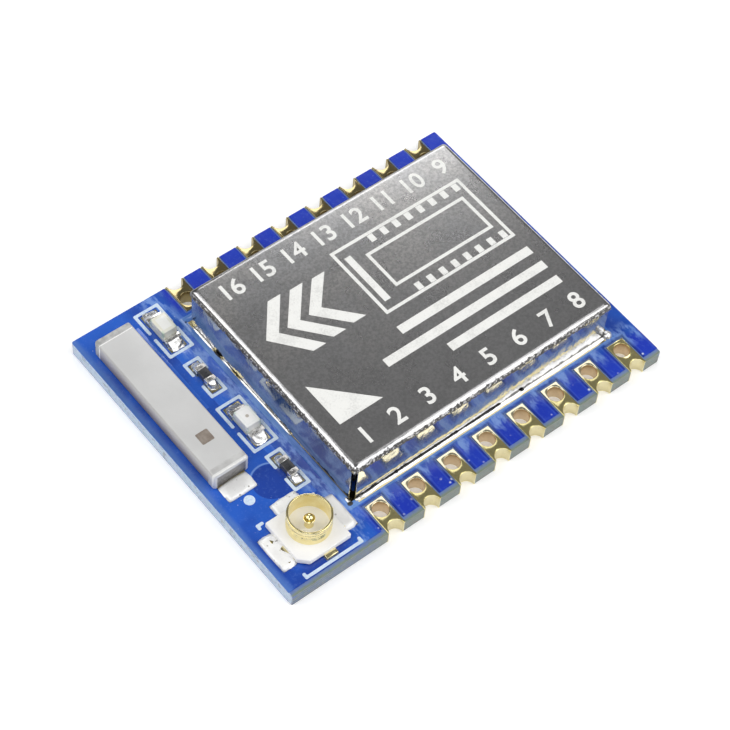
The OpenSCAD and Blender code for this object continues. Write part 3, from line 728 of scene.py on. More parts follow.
class Finishes:
    """Every finish of the module, each made once."""

    def __init__(self) -> None:
        """Makes the materials."""
        self.mask = Mask("mask_blue").make()
        self.mask_over_copper = Mask("mask_over_copper", full=(0.030, 0.140, 0.64), lift=0.15).make()
        # A paler copy of the mask, whose pale blue is painted sheen along the lap round the can.
        self.mask_rim = Mask(
            "mask_rim", deep=(0.04, 0.13, 0.46), full=(0.13, 0.28, 0.66), finger=(0.08, 0.20, 0.60),
        ).make()
        self.laminate = Laminate().make()
        self.pad_gold = PadGold().make()
        self.gold = Metal(
            "gold_plate", (0.60, 0.51, 0.23), (0.88, 0.79, 0.48), (0.14, 0.30), 1.3, 10.0, 0.008,
        ).make()
        self.bright_gold = Metal(
            "bright_gold", (0.84, 0.71, 0.32), (0.95, 0.86, 0.52), (0.08, 0.18), 1.6, 12.0, 0.004,
        ).make()
        self.sheet = CanSheet().make()
        self.print = Ink("can_print", (0.88, 0.88, 0.85), (0.58, 0.58, 0.56), 0.55, 0.5).make()
        self.ink = Ink("ink_white", (0.70, 0.82, 0.95), (0.34, 0.48, 0.78), 0.45, 0.55).make()
        self.solder = Metal(
            "solder", (0.74, 0.74, 0.73), (0.95, 0.95, 0.94), (0.16, 0.42), 2.4, 9.0, 0.02, flux=0.5,
        ).make()
        self.solder_matt = Metal(
            "solder_matt", (0.90, 0.90, 0.89), (0.98, 0.98, 0.97), (0.35, 0.55), 1.2, 7.0, 0.015, 0.25, 0.8,
        ).make()
        self.tin = Metal(
            "tin_plate", (0.62, 0.61, 0.59), (0.88, 0.87, 0.85), (0.14, 0.34), 3.0, depth=0.015,
        ).make()
        self.ceramic = Glaze().make()
        self.feed_end = EndPaint("feed_end", "aerial_feed_cap", 0.1).make()
        self.open_end = EndPaint(
            "open_end", "aerial_open_cap", 0.07, body=(0.34, 0.34, 0.34), bright=(0.97, 0.97, 0.96),
        ).make()
        self.mark = Mineral(
            "feed_mark", (0.20, 0.16, 0.13), (0.30, 0.26, 0.22), (0.48, 0.46, 0.44), 0.6, 3.0, 14.0, 0.5,
        ).make()
        self.moulding = Mineral(
            "moulding_white", (0.955, 0.95, 0.945), (0.985, 0.98, 0.975), (0.84, 0.80, 0.76),
            0.42, 0.7, 10.0, 0.2, 0.008,
        ).make()
        self.lamp_board = Mineral(
            "lamp_board", (0.62, 0.66, 0.56), (0.74, 0.76, 0.68), (0.30, 0.45, 0.28), 0.5, 2.0, 12.0, 0.4,
        ).make()
        warm, clear = (f"{role.value}_lens" for role in LampRole)
        self.lens_warm = Resin(
            "lens_warm", warm, (0.86, 0.84, 0.72), (0.78, 0.80, 0.72), (0.92, 0.93, 0.90),
        ).make()
        self.lens_clear = Resin(
            "lens_clear", clear, (0.95, 0.95, 0.94), (0.86, 0.90, 0.88), (0.98, 0.98, 0.97), 0.7,
        ).make()
        self.die = Mineral(
            "die", (0.40, 0.36, 0.14), (0.55, 0.50, 0.22), (0.86, 0.86, 0.85), 0.3, 4.0, 16.0, 0.2,
        ).make()
        self.resistor = Mineral(
            "resistor_black", (0.020, 0.022, 0.026), (0.050, 0.052, 0.058), (0.16, 0.16, 0.17),
            0.3, 2.0, 12.0, 0.3, 0.006, 0.4,
        ).make()
        self.chip = Mineral(
            "chip_black", (0.022, 0.022, 0.024), (0.040, 0.040, 0.042), (0.12, 0.12, 0.12),
            0.5, 1.0, 12.0, 0.5, 0.01,
        ).make()
        self.crystal = Mineral(
            "crystal_ceramic", (0.30, 0.25, 0.18), (0.38, 0.32, 0.24), (0.16, 0.13, 0.10), 0.5,
        ).make()
        glossy = (0.35, 2.0, 12.0, 0.3, 0.006, 0.3)
        self.capacitor = Mineral(
            "capacitor_tan", (0.34, 0.22, 0.12), (0.46, 0.31, 0.18), (0.20, 0.12, 0.06), *glossy,
        ).make()
        self.inductor = Mineral(
            "inductor_blue", (0.34, 0.44, 0.55), (0.46, 0.56, 0.66), (0.22, 0.28, 0.36), *glossy,
        ).make()


# ---- Mesh making ----


def span(node: str) -> tuple[Vector, Vector]:
    """Lowest and highest corner of a node, in millimetres."""
    low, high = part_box(node)
    return low / MM, high / MM


class Shape:
    """A mesh in the making, in millimetres."""

    def __init__(self) -> None:
        """Starts empty."""
        self.bm = bmesh.new()

    @classmethod
    def of_node(cls, node: str) -> "Shape":
        """Copies a node's mesh, with its flat faces made whole again.

        Args:
            node: the node's name.

        Returns:
            The copy.
        """
        shape = cls()
        bm = shape.bm
        bm.from_mesh(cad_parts[node].data)
        bmesh.ops.scale(bm, vec=(1 / MM,) * 3, verts=bm.verts)
        bmesh.ops.remove_doubles(bm, verts=bm.verts, dist=1e-4)
        bmesh.ops.dissolve_limit(bm, angle_limit=math.radians(0.5), verts=bm.verts, edges=bm.edges)
        return shape

    def absorb(self, other: "Shape") -> None:
        """Takes over another shape's mesh.

        Args:
            other: the shape, which is used up.
        """
        mesh = bpy.data.meshes.new("passing")
        other.bm.to_mesh(mesh)
        other.bm.free()
        self.bm.from_mesh(mesh)
        bpy.data.meshes.remove(mesh)

    def box(self, low: Point, high: Point) -> list[bmesh.types.BMVert]:
        """Adds a block.

        Args:
            low: its lowest corner.
            high: its highest corner.

        Returns:
            The new points.
        """
        low, high = Vector(low), Vector(high)
        place = Matrix.Translation((low + high) / 2) @ Matrix.Diagonal((*(high - low), 1.0))
        return bmesh.ops.create_cube(self.bm, size=1.0, matrix=place)["verts"]

    def plate(self, outline: Iterable[Point], low: float, high: float) -> None:
        """Adds a flat plate.

        Args:
            outline: its corners in order, in X and Y.
            low: height of its underside.
            high: height of its top.
        """
        face = self.bm.faces.new([self.bm.verts.new((x, y, low)) for x, y in outline])
        grown = bmesh.ops.extrude_face_region(self.bm, geom=[face], use_keep_orig=True)["geom"]
        top = [item for item in grown if isinstance(item, bmesh.types.BMVert)]
        bmesh.ops.translate(self.bm, vec=(0, 0, high - low), verts=top)

    def turned(self, profile: Iterable[Point], axis_at: Point, steps: int = 64) -> None:
        """Adds a shape turned about an upright axis.

        Args:
            profile: radius and height of each point, in order; it closes on itself.
            axis_at: X and Y of the axis.
            steps: facets around.
        """
        x, y = axis_at
        points = [self.bm.verts.new((x + radius, y, height)) for radius, height in profile]
        edges = [self.bm.edges.new(pair) for pair in zip(points, points[1:] + points[:1])]
        bmesh.ops.spin(
            self.bm, geom=points + edges, cent=(x, y, 0), axis=(0, 0, 1), angle=FULL_TURN, steps=steps,
            use_merge=True, use_duplicate=False,
        )
        bmesh.ops.remove_doubles(self.bm, verts=self.bm.verts, dist=1e-5)

    def bead(
        self,
        start: Point,
        along: Point,
        out: Point,
        length: float,
        reach: float,
        height: float,
        sag: float = 0.6,
        ripple: float = 0.1,
        seed: float = 0.0,
        steps: int = 24,
        round_off: float = 0.25,
    ) -> None:
        """Adds a run of solder that leans on an upright face.

        Args:
            start: foot of the face where the run starts.
            along: direction of the run.
            out: direction away from the face.
            length: length of the run.
            reach: how far it spreads.
            height: how far it climbs.
            sag: 0 for a bulging run, and 1 for a hollow one.
            ripple: unevenness, as a share of its size.
            seed: place in the noise, so that no two runs look the same.
            steps: stations along the run.
            round_off: length over which each end rounds off.
        """
        around, least = 16, 0.08  # facets around, and the share of its size that a run keeps at its ends
        sunk, under = 0.01, 0.005  # how far it reaches into the face, and below its foot
        start, along, out = Vector(start), Vector(along), Vector(out)
        turn = Matrix.Rotation(math.pi / 2, 4, "X")
        part = Shape()
        bmesh.ops.create_circle(part.bm, cap_ends=False, segments=around, radius=1.0, matrix=turn)
        bmesh.ops.spin(
            part.bm, geom=list(part.bm.verts) + list(part.bm.edges), cent=(0, 0, 0), axis=(0, 1, 0),
            dvec=(0, 1.0 / steps, 0), angle=0.0, steps=steps, use_duplicate=False,
        )
        bmesh.ops.holes_fill(part.bm, edges=[edge for edge in part.bm.edges if edge.is_boundary], sides=0)
        for vert in part.bm.verts:
            share = (math.atan2(vert.co.z, vert.co.x) / FULL_TURN) % 1.0
            at = vert.co.y
            gap = min(at, 1 - at) * length / round_off
            fade = math.sqrt(max(0.0, 1 - (1 - min(gap, 1.0)) ** 2)) * (1 - least) + least
            spot = Vector((at * length * 1.3, seed, 0.0))
            wide = reach * fade * (1 + ripple * noise.noise(spot))
            tall = height * fade * (1 + ripple * noise.noise(spot + Vector((0, 0, 9.0))))
            if share < 0.5:
                bend = share * math.pi
                hollow = (1 - math.sin(bend), 1 - math.cos(bend))
                full = (math.cos(bend), math.sin(bend))
                aside = (hollow[0] * sag + full[0] * (1 - sag)) * wide
                up = (hollow[1] * sag + full[1] * (1 - sag)) * tall
                fine = noise.noise(Vector((at * length * 4, share * 9, seed + 5))) * ripple * 0.25
                aside, up = aside + fine * wide, max(0.0, up + fine * tall)
            else:
                back = (share - 0.5) * 4
                aside, up = (-sunk, tall * (1 - back)) if back < 1 else (wide * (back - 1), -under)
            vert.co = start + along * (at * length) + out * aside + Vector((0, 0, up))
        self.absorb(part)

    def drop(self, centre: Point, radii: Point, floor: float) -> None:
        """Adds a smooth drop of solder.

        Args:
            centre: its middle, no lower than the floor.
            radii: half its size along each axis.
            floor: height at which it is cut flat.
        """
        part = Shape()
        bmesh.ops.create_uvsphere(part.bm, u_segments=32, v_segments=20, radius=1.0)
        for vert in part.bm.verts:
            spot = Vector(centre) + Vector(share * radius for share, radius in zip(vert.co, radii))
            vert.co = (spot.x, spot.y, max(spot.z, floor))
        self.absorb(part)

    def mound(
        self, low: Point, high: Point, seed: float = 0.0, ripple: float = 0.2, cuts: int = 7, power: int = 4,
    ) -> None:
        """Adds a domed pool of solder.

        Args:
            low: lowest corner.
            high: highest corner.
            seed: place in the noise.
            ripple: unevenness, as a share of its height.
            cuts: how finely it is divided.
            power: how flat its top is.
        """
        least = 0.12  # share of its height that it keeps at its rim
        part = Shape()
        part.box(low, high)
        bmesh.ops.subdivide_edges(part.bm, edges=part.bm.edges, cuts=cuts, use_grid_fill=True)
        low, high = Vector(low), Vector(high)
        middle, half = (low + high) / 2, (high - low) / 2
        for vert in part.bm.verts:
            u = (vert.co.x - middle.x) / half.x
            v = (vert.co.y - middle.y) / half.y
            share = (vert.co.z - low.z) / (high.z - low.z)
            crown = math.sqrt(max(0.0, (1 - u ** power) * (1 - v ** power)))
            bumpy = 1 + ripple * noise.noise(Vector((vert.co.x * 2.4, vert.co.y * 2.4, seed)))
            vert.co.z = low.z + (high.z - low.z) * share * (least + (1 - least) * crown) * bumpy
            pinch = 1 - 0.08 * (u * v) ** 2 + 0.05 * noise.noise(Vector((u * 2, v * 2, seed + 3)))
            vert.co.x = middle.x + (vert.co.x - middle.x) * pinch
            vert.co.y = middle.y + (vert.co.y - middle.y) * pinch
        self.absorb(part)

    def sharp(
        self, angle: float = 30.0, where: Optional[Callable[[Vector], bool]] = None,
    ) -> list[bmesh.types.BMEdge]:
        """Finds sharp edges.

        Args:
            angle: bend in degrees, above which an edge counts.
            where: test that its middle passes, or None.

        Returns:
            The edges.
        """
        found = []
        for edge in self.bm.edges:
            if edge.is_manifold and edge.calc_face_angle(0.0) > math.radians(angle):
                middle = (edge.verts[0].co + edge.verts[1].co) / 2
                if where is None or where(middle):
                    found.append(edge)
        return found

    def ease(
        self, width: float, segments: int = 2, edges: Optional[list[bmesh.types.BMEdge]] = None,
    ) -> "Shape":
        """Rounds edges.

        Args:
            width: size of the rounding.
            segments: facets across it.
            edges: the edges, or None for every sharp one.

        Returns:
            The shape.
        """
        picked = self.sharp() if edges is None else edges
        bmesh.ops.bevel(
            self.bm, geom=picked, offset=width, offset_type="OFFSET", segments=segments, profile=0.5,
            affect="EDGES", material=-1, clamp_overlap=True,
        )
        return self

    def roughen(
        self, amount: float, scale: float, where: Callable[[Vector], bool], seed: float = 0.0,
    ) -> None:
        """Moves points along their normals by noise.

        Args:
            amount: how far at most.
            scale: bumps to the millimetre.
            where: test that a point passes.
            seed: place in the noise.
        """
        self.bm.normal_update()
        for vert in self.bm.verts:
            if where(vert.co):
                vert.co += vert.normal * amount * noise.noise(vert.co * scale + Vector((seed, 0, 0)))

    def piece(
        self, name: str, slot: str, material: Material, replaces: Sequence[str] = (), angle: float = 35.0,
    ) -> bpy.types.Object:
        """Turns the shape into a finished piece.

        Args:
            name: the piece's name.
            slot: the record's slot for its finish; not used.
            material: its finish.
            replaces: nodes that it stands for.
            angle: bend in degrees, above which an edge looks sharp.

        Returns:
            The piece.
        """
        bmesh.ops.recalc_face_normals(self.bm, faces=self.bm.faces)
        bmesh.ops.scale(self.bm, vec=(MM,) * 3, verts=self.bm.verts)
        mesh = bpy.data.meshes.new(name)
        self.bm.to_mesh(mesh)
        self.bm.free()
        mesh.shade_smooth()
        mesh.set_sharp_from_angle(angle=math.radians(angle))
        mesh.materials.append(material)
        made = bpy.data.objects.new(name, mesh)
        bpy.context.scene.collection.objects.link(made)
        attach(made, "root")
        if replaces:
            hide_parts(*replaces)
        LOG.info("%s: %d faces", name, len(mesh.polygons))
        return made


def dress(node: str, material: Material) -> None:
    """Gives a node that stays its finish.

    Args:
        node: the node's name.
        material: its finish.
    """
    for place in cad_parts[node].material_slots:
        place.material = material
    LOG.info("%s: dressed", node)


def refine(node: str, slot: str, material: Material, width: float, segments: int = 2) -> None:
    """Replaces a node by a copy with eased edges.

    Args:
        node: the node's name.
        slot: the record's slot for its finish.
        material: its finish.
        width: size of the rounding.
        segments: facets across it.
    """
    Shape.of_node(node).ease(width, segments).piece(f"{node}_eased", slot, material, [node])


# ---- Assemblies ----


@dataclass
class Assembly:
    """A sub-assembly, which holds its sizes and is given the module's finishes."""

    finishes: Finishes

    def build(self) -> None:
        """Makes and dresses its pieces."""
        raise NotImplementedError


# ---- Board ----


@dataclass(frozen=True)
class PadRow:
    """Where the pads stand along both long edges, and the mask's window round each."""

    pitch: float = 2.0
    window_w: float = 1.11
    window_l: float = 1.70
    per_side: int = 8

    def names(self) -> list[str]:
        """Node names of all the pads."""
        return [f"edge_pad_{number:02d}" for number in range(1, 2 * self.per_side + 1)]

    def first_x(self) -> float:
        """X of the first pad's middle."""
        low, high = span("edge_pad_01")
        return (low.x + high.x) / 2

    def edge_y(self) -> float:
        """Y of the board's far edge."""
        return span("edge_pad_09")[1].y


@dataclass
class Pads(Assembly):
    """Plated pads along both long edges."""

    rim_r: float = 0.024

    def build(self) -> None:
        """Makes the pads with soft rims on their lands and holes."""
        for name in PadRow().names():
            low, high = span(name)
            edge = high.y if high.y > 0 else low.y
            shape = Shape.of_node(name)
            rims = shape.sharp(
                40.0, lambda at: (at.z > high.z - HAIR or at.z < HAIR) and abs(at.y - edge) > HAIR,
            )
            shape.ease(self.rim_r, 2, rims)
            shape.piece(f"{name}_plated", "gold_plate", self.finishes.pad_gold, [name])


@dataclass
class Tracks(Assembly):
    """Copper runs that show as low ridges under the mask, and the covered vias where they end underneath.

    A run is given as the X and Y of its lowest corner and of its highest one.
    """

    ridge: float = 0.014
    lengthwise: float = 0.5
    crosswise: float = 0.8
    via_r: float = 0.27
    via_slope: float = 0.03
    upper: tuple[tuple[float, float, float, float], ...] = (
        (-7.35, 3.95, -6.55, 4.75), (-7.35, 1.2, -6.55, 1.95), (-7.15, -1.9, -6.75, -1.3),
        (-7.3, -4.55, -6.6, -3.95), (-8.05, 1.6, -7.75, 6.9),
    )
    lower: tuple[tuple[float, float, float, float], ...] = (
        (-4.6, -5.2, -4.3, 4.9), (-2.6, -6.0, -2.3, 1.2), (-0.7, -5.6, -0.4, 5.3), (1.3, -4.4, 1.6, 6.0),
        (3.3, -6.0, 3.6, 2.3), (5.4, -5.0, 5.7, 5.4), (7.4, -6.0, 7.7, 3.0), (-7.6, -2.3, 7.2, -2.0),
        (-6.9, 3.1, 5.4, 3.4), (-9.6, -5.6, -9.3, 5.8), (-9.6, 5.5, -6.0, 5.8), (-9.5, -5.6, -4.5, -5.3),
    )
    vias: tuple[tuple[float, float], ...] = (
        (-4.45, -5.2), (-4.45, 4.9), (-2.45, 1.2), (-0.55, 5.3), (1.45, -4.4), (3.45, 2.3), (5.55, -5.0),
        (5.55, 5.4), (7.55, 3.0), (-7.6, -2.15), (7.2, -2.15), (-6.9, 3.25), (-9.45, 5.65), (-6.0, 5.65),
    )

    def build(self) -> None:
        """Makes the ridges on both faces and the vias underneath, where runs that cross differ in height."""
        top = span("solder_mask_top")[1].z
        above = Shape()
        for x0, y0, x1, y1 in self.upper:
            above.box((x0, y0, top - HAIR), (x1, y1, top + self.ridge))
        above.ease(0.02).piece("covered_copper_top", "mask_blue", self.finishes.mask_over_copper)
        under = span("solder_mask_bottom")[0].z
        below = Shape()
        for x0, y0, x1, y1 in self.lower:
            share = self.crosswise if y1 - y0 > x1 - x0 else self.lengthwise
            below.box((x0, y0, under - self.ridge * share), (x1, y1, under + HAIR))
        low, high = under - self.ridge, under + HAIR
        profile = [(0, low), (self.via_r - self.via_slope, low), (self.via_r, high), (0, high)]
        for at in self.vias:
            below.turned(profile, at, 28)
        below.ease(0.01, 1).piece("covered_copper_bottom", "mask_blue", self.finishes.mask_over_copper)


@dataclass
class Board(Assembly):
    """Laminate, masks, lands and legend, with the pads and the tracks."""

    corner: float = 0.5
    crisp: float = 0.3
    cut_back: float = 0.2
    ink_r: float = 0.06

    def trim(self, node: str, slot: str, material: Material) -> None:
        """Replaces a layer by a copy with crisper corners and a plain end that is cut back a little.

        Args:
            node: the layer's node.
            slot: the record's slot for its finish.
            material: its finish.
        """
        _, far = span("laminate_core")
        low, _ = span(node)
        inner_x, inner_y = far.x - self.corner, far.y - self.corner
        shape = Shape.of_node(node)
        for vert in shape.bm.verts:
            x, y = vert.co.x, vert.co.y
            if abs(x) > inner_x and abs(y) > inner_y:
                # A mask that stops short of this edge has no rounding to keep.
                if y < 0 and low.y > HAIR - far.y:
                    vert.co.x = math.copysign(far.x, x)
                else:
                    vert.co.x += math.copysign((1 - self.crisp) * (far.x - abs(x)), x)
                    vert.co.y += math.copysign((1 - self.crisp) * (far.y - abs(y)), y)
            if x > inner_x - 0.05:
                vert.co.x -= self.cut_back
        shape.piece(f"{node}_trimmed", slot, material, [node])

    def build(self) -> None:
        """Makes and dresses the board's parts."""
        self.trim("laminate_core", "laminate", self.finishes.laminate)
        self.trim("solder_mask_top", "mask_blue", self.finishes.mask)
        self.trim("solder_mask_bottom", "mask_blue", self.finishes.mask)
        dress("surface_lands", self.finishes.gold)
        Pads(self.finishes).build()
        Tracks(self.finishes).build()
        legend = Shape.of_node("legend_ink")
        upright = [edge for edge in legend.sharp(57.3) if abs(edge.verts[0].co.z - edge.verts[1].co.z) > HAIR]
        legend.ease(self.ink_r, 3, upright)
        legend.piece("legend_printed", "ink_white", self.finishes.ink, ["legend_ink"])


# ---- Can ----


@dataclass
class CanPrint(Assembly):
    """Plain marks on the can: pad numbers, a chart of the module, arrowheads, a pad-1 corner and rules."""

    ink_t: float = 0.008
    figure_h: float = 1.25
    swell: float = 0.018
    chevron: float = 3.9
    chevrons: int = 3
    frame_w: float = 0.16
    tick_w: float = 0.3
    band_w: float = 0.34
    rule_w: float = 0.46
    rule_gap: float = 1.0
    rules: tuple[float, ...] = (7.6, 9.2, 6.4)
    shape: Shape = field(default_factory=Shape)

    def foot(self) -> float:
        """Height of the ink's underside, which is sunk in the can by half the ink."""
        return span("screening_can")[1].z - self.ink_t / 2

    def patch(self, *outline: Point) -> None:
        """Adds a flat patch of ink with the given corners."""
        self.shape.plate(outline, self.foot(), self.foot() + self.ink_t)

    def stroke(self, start: Point, end: Point, width: float) -> None:
        """Adds a straight stroke of ink.

        Args:
            start: X and Y of its start.
            end: X and Y of its end.
            width: its width.
        """
        start, end = Vector(start), Vector(end)
        along = (end - start).normalized()
        side = Vector((-along.y, along.x)) * width / 2
        self.patch(start - side, end - side, end + side, start + side)

    def figure(self, number: int, at: Point) -> None:
        """Adds a pad's number.

        Args:
            number: the pad's number.
            at: X and Y of its middle.
        """
        curve = bpy.data.curves.new("figures", "FONT")
        curve.body, curve.size, curve.resolution_u = str(number), self.figure_h, 4
        curve.align_x, curve.align_y = "CENTER", "CENTER"
        curve.extrude, curve.offset = self.ink_t / 2, self.swell * self.figure_h
        holder = bpy.data.objects.new("figures", curve)
        bpy.context.scene.collection.objects.link(holder)
        graph = bpy.context.evaluated_depsgraph_get()
        mesh = bpy.data.meshes.new_from_object(holder.evaluated_get(graph))
        mesh.transform(Matrix.Translation((at[0], at[1], self.foot() + self.ink_t / 2)))
        self.shape.bm.from_mesh(mesh)
        bpy.data.objects.remove(holder)
        bpy.data.curves.remove(curve)
        bpy.data.meshes.remove(mesh)

    def row(self, numbers: Sequence[int], y: float) -> None:
        """Adds a row of pad numbers.

        Args:
            numbers: the numbers, from the aerial end on.
            y: Y of their middles.
        """
        low, high = span("screening_can")
        x0, x1 = low.x + 1.5, high.x - 1.2
        for place, number in enumerate(numbers):
            self.figure(number, (x0 + (x1 - x0) * place / (len(numbers) - 1), y))

    def arrowheads(self, x: float, y: float) -> None:
        """Adds nested arrowheads that point to the aerial end.

        Args:
            x: X of the middle of their place.
            y: Y of their tips.
        """
        size = self.chevron
        back, thick = size * 0.34, size * 0.18
        for number in range(self.chevrons):
            tip, half = x - size * 0.52 + number * size * 0.3, size * (0.42 - 0.02 * number)
            self.patch(
                (tip, y), (tip + back, y + half), (tip + back + thick, y + half), (tip + thick, y),
                (tip + back + thick, y - half), (tip + back, y - half),
            )

    def outline(self, x0: float, y0: float, x1: float, y1: float) -> None:
        """Adds a frame with mitred corners.

        Args:
            x0: lowest X.
            y0: lowest Y.
            x1: highest X.
            y1: highest Y.
        """
        w = self.frame_w
        outer = [(x0, y0), (x1, y0), (x1, y1), (x0, y1)]
        inner = [(x0 + w, y0 + w), (x1 - w, y0 + w), (x1 - w, y1 - w), (x0 + w, y1 - w)]
        for number in range(4):
            after = (number + 1) % 4
            self.patch(outer[number], outer[after], inner[after], inner[number])

    def chart(self, x0: float, y0: float, x1: float, y1: float) -> None:
        """Adds the module's outline with its can, its pads and its aerial.

        Args:
            x0: lowest X.
            y0: lowest Y.
            x1: highest X.
            y1: highest Y.
        """
        self.outline(x0, y0, x1, y1)
        self.outline(x0 + 1.3, y0 + 0.95, x1 - 0.5, y1 - 0.95)
        step = (x1 - x0) * 0.094
        for number in range(PadRow().per_side):
            x = x1 - step * (7.6 - number)
            for edge, inward in ((y0, 1), (y1, -1)):
                self.stroke((x, edge + inward * (self.frame_w + 0.02)), (x, edge + inward * 0.6), self.tick_w)
        self.stroke((x0 + 0.55, y0 + 0.6), (x0 + 0.55, y1 - 0.6), self.band_w)

    def build(self) -> None:
        """Makes the print."""
        low, high = span("screening_can")
        self.row(range(16, 8, -1), high.y - 1.15)
        self.row(range(1, 9), low.y + 1.1)
        self.arrowheads(low.x + 3.1, high.y - 4.2)
        self.chart(low.x + 6.2, high.y - 6.2, high.x - 1.0, high.y - 2.1)
        self.patch((low.x + 0.95, low.y + 2.2), (low.x + 3.3, low.y + 2.2), (low.x + 0.95, low.y + 4.6))
        for number, length in enumerate(self.rules):
            y = low.y + 4.5 - number * self.rule_gap
            self.stroke((high.x - 1.0 - length, y), (high.x - 1.0, y), self.rule_w)
        self.shape.piece("can_marks", "ink_white", self.finishes.print)


@dataclass(frozen=True)
class Run:
    """One run of solder along the can's foot."""

    side: Side
    start: float
    end: float
    reach: float
    height: float
    ripple: float


@dataclass
class ScreeningCan(Assembly):
    """Folded can with open corner slits, its solder seam, the mask's lap over its land, and its print."""

    sheet: float = 0.12
    fold: float = 0.3
    corner_r: float = 0.14
    burr: float = 0.04
    slit: float = 0.225
    slit_top: float = 0.36
    relief_y: float = 2.46
    relief_w: float = 1.2
    relief_h: float = 0.12
    bare: float = 4.2
    seam_gap: float = 0.34
    sag: float = 0.15

    def is_open(self, at: Vector) -> bool:
        """Tells whether a spot of the shell lies in a corner slit or in the foot's relief.

        Args:
            at: the spot.

        Returns:
            True where the sheet is cut away.
        """
        low, high = span("screening_can")
        off_x, off_y = min(at.x - low.x, high.x - at.x), min(at.y - low.y, high.y - at.y)
        in_slit = off_x < self.slit and off_y < self.slit and at.z < high.z - self.slit_top
        by_relief = at.x < low.x + HAIR and abs(at.y - self.relief_y) < self.relief_w / 2
        return in_slit or (by_relief and at.z < low.z + self.relief_h)

    def shell(self) -> None:
        """Makes the can: a rounded block, open below, slit at its corners and one sheet thick."""
        low, high = span("screening_can")
        shape = Shape()
        shape.box(low, high)
        bm = shape.bm
        rim = [edge for edge in bm.edges if all(vert.co.z > high.z - HAIR for vert in edge.verts)]
        shape.ease(self.fold, 7, rim)
        shape.ease(self.corner_r, 3, shape.sharp(25, lambda at: at.z > low.z + 0.1))
        floor = [face for face in bm.faces if all(v.co.z < low.z + HAIR for v in face.verts)]
        bmesh.ops.delete(bm, geom=floor, context="FACES")
        along_x, along_y, up = Vector((1, 0, 0)), Vector((0, 1, 0)), Vector((0, 0, 1))
        cuts = [(high.z - self.slit_top, up), (low.z + self.relief_h, up)]
        for sign, edge in ((1, low), (-1, high)):
            cuts += [(edge.x + sign * self.slit, along_x), (edge.y + sign * self.slit, along_y)]
        cuts += [(self.relief_y + half * self.relief_w / 2, along_y) for half in (-1, 1)]
        for at, axis in cuts:
            everything = [*bm.verts, *bm.edges, *bm.faces]
            bmesh.ops.bisect_plane(bm, geom=everything, plane_co=axis * at, plane_no=axis, dist=1e-6)
        gone = [face for face in bm.faces if self.is_open(face.calc_center_median())]
        bmesh.ops.delete(bm, geom=gone, context="FACES")
        made = shape.piece("can_shell", "can_sheet", self.finishes.sheet, ["screening_can"], 30.0)
        wall = made.modifiers.new("wall", "SOLIDIFY")
        wall.thickness, wall.offset, wall.use_even_offset = self.sheet * MM, -1.0, True
        burr = made.modifiers.new("burr", "BEVEL")
        burr.width, burr.segments, burr.limit_method = self.burr * MM, 2, "ANGLE"
        burr.angle_limit = math.radians(60)

    def seam(self) -> None:
        """Makes the solder runs round the can's foot, with a drop at each corner that is soldered."""
        low, high = span("screening_can")
        base, gap, relief = low.z, self.seam_gap, self.relief_y
        shape = Shape()
        runs = (
            Run(Side.NEAR, low.x + gap, high.x + 0.1, 0.15, 0.07, 0.2),
            Run(Side.FAR, low.x + gap, high.x - gap, 0.22, 0.16, 0.3),
            Run(Side.PLAIN, low.y + gap, high.y - gap, 0.22, 0.2, 0.3),
            Run(Side.AERIAL, low.y + self.bare, relief - 0.4, 0.07, 0.05, 0.15),
            Run(Side.AERIAL, relief + 0.1, relief + 0.9, 0.07, 0.05, 0.15),
            Run(Side.AERIAL, relief + 1.5, high.y - gap, 0.08, 0.05, 0.15),
        )
        for number, run in enumerate(runs):
            out, length = Vector((*run.side.value, 0)), run.end - run.start
            if run.side in (Side.NEAR, Side.FAR):
                foot, along = (run.start, low.y if run.side is Side.NEAR else high.y, base), (1, 0, 0)
            else:
                foot, along = (low.x if run.side is Side.AERIAL else high.x, run.start, base), (0, 1, 0)
            shape.bead(
                Vector(foot) + out * 0.02, along, out, length, run.reach, run.height, self.sag, run.ripple,
                number * 7.3, int(length * 7), 0.3,
            )
        for centre, radii in (
            ((high.x + 0.02, low.y - 0.04), (0.26, 0.24, 0.24)),
            ((high.x - 0.03, high.y - 0.03), (0.31, 0.31, 0.13)),
            ((low.x + 0.30, low.y - 0.07), (0.16, 0.11, 0.09)),
            ((low.x - 0.10, low.y + 0.12), (0.09, 0.20, 0.05)),
        ):
            shape.drop((*centre, base), radii, base - 0.005)
        shape.piece("can_seam", "solder", self.finishes.solder, ["can_solder"], 60.0)

    def residue(self) -> None:
        """Makes a broken black line along the near foot, which is painted shade under the wall, and black spots
        beside it.
        """
        low, _ = span("screening_can")
        base = low.z
        shape = Shape()
        for centre, radii in (
            ((low.x - 0.12, low.y - 0.06, base + 0.012), (0.13, 0.11, 0.04)),
            ((-3.3, low.y - 0.04, base + 0.05), (0.10, 0.05, 0.05)),
            ((-1.1, low.y - 0.04, base + 0.05), (0.05, 0.05, 0.05)),
            ((3.9, low.y - 0.04, base + 0.05), (0.13, 0.05, 0.05)),
            ((low.x - 0.05, self.relief_y + 1.2, base + 0.012), (0.055, 0.24, 0.03)),
        ):
            shape.drop(centre, radii, base - 0.005)
        start = (low.x + 0.45, low.y - 0.02, base + 0.03)
        shape.bead(start, (1, 0, 0), (0, -1, 0), 8.2, 0.05, 0.07, self.sag, 0.8, 91.0, 110, 0.3)
        shape.piece("foot_shade_and_spots", "resistor_black", self.finishes.chip)

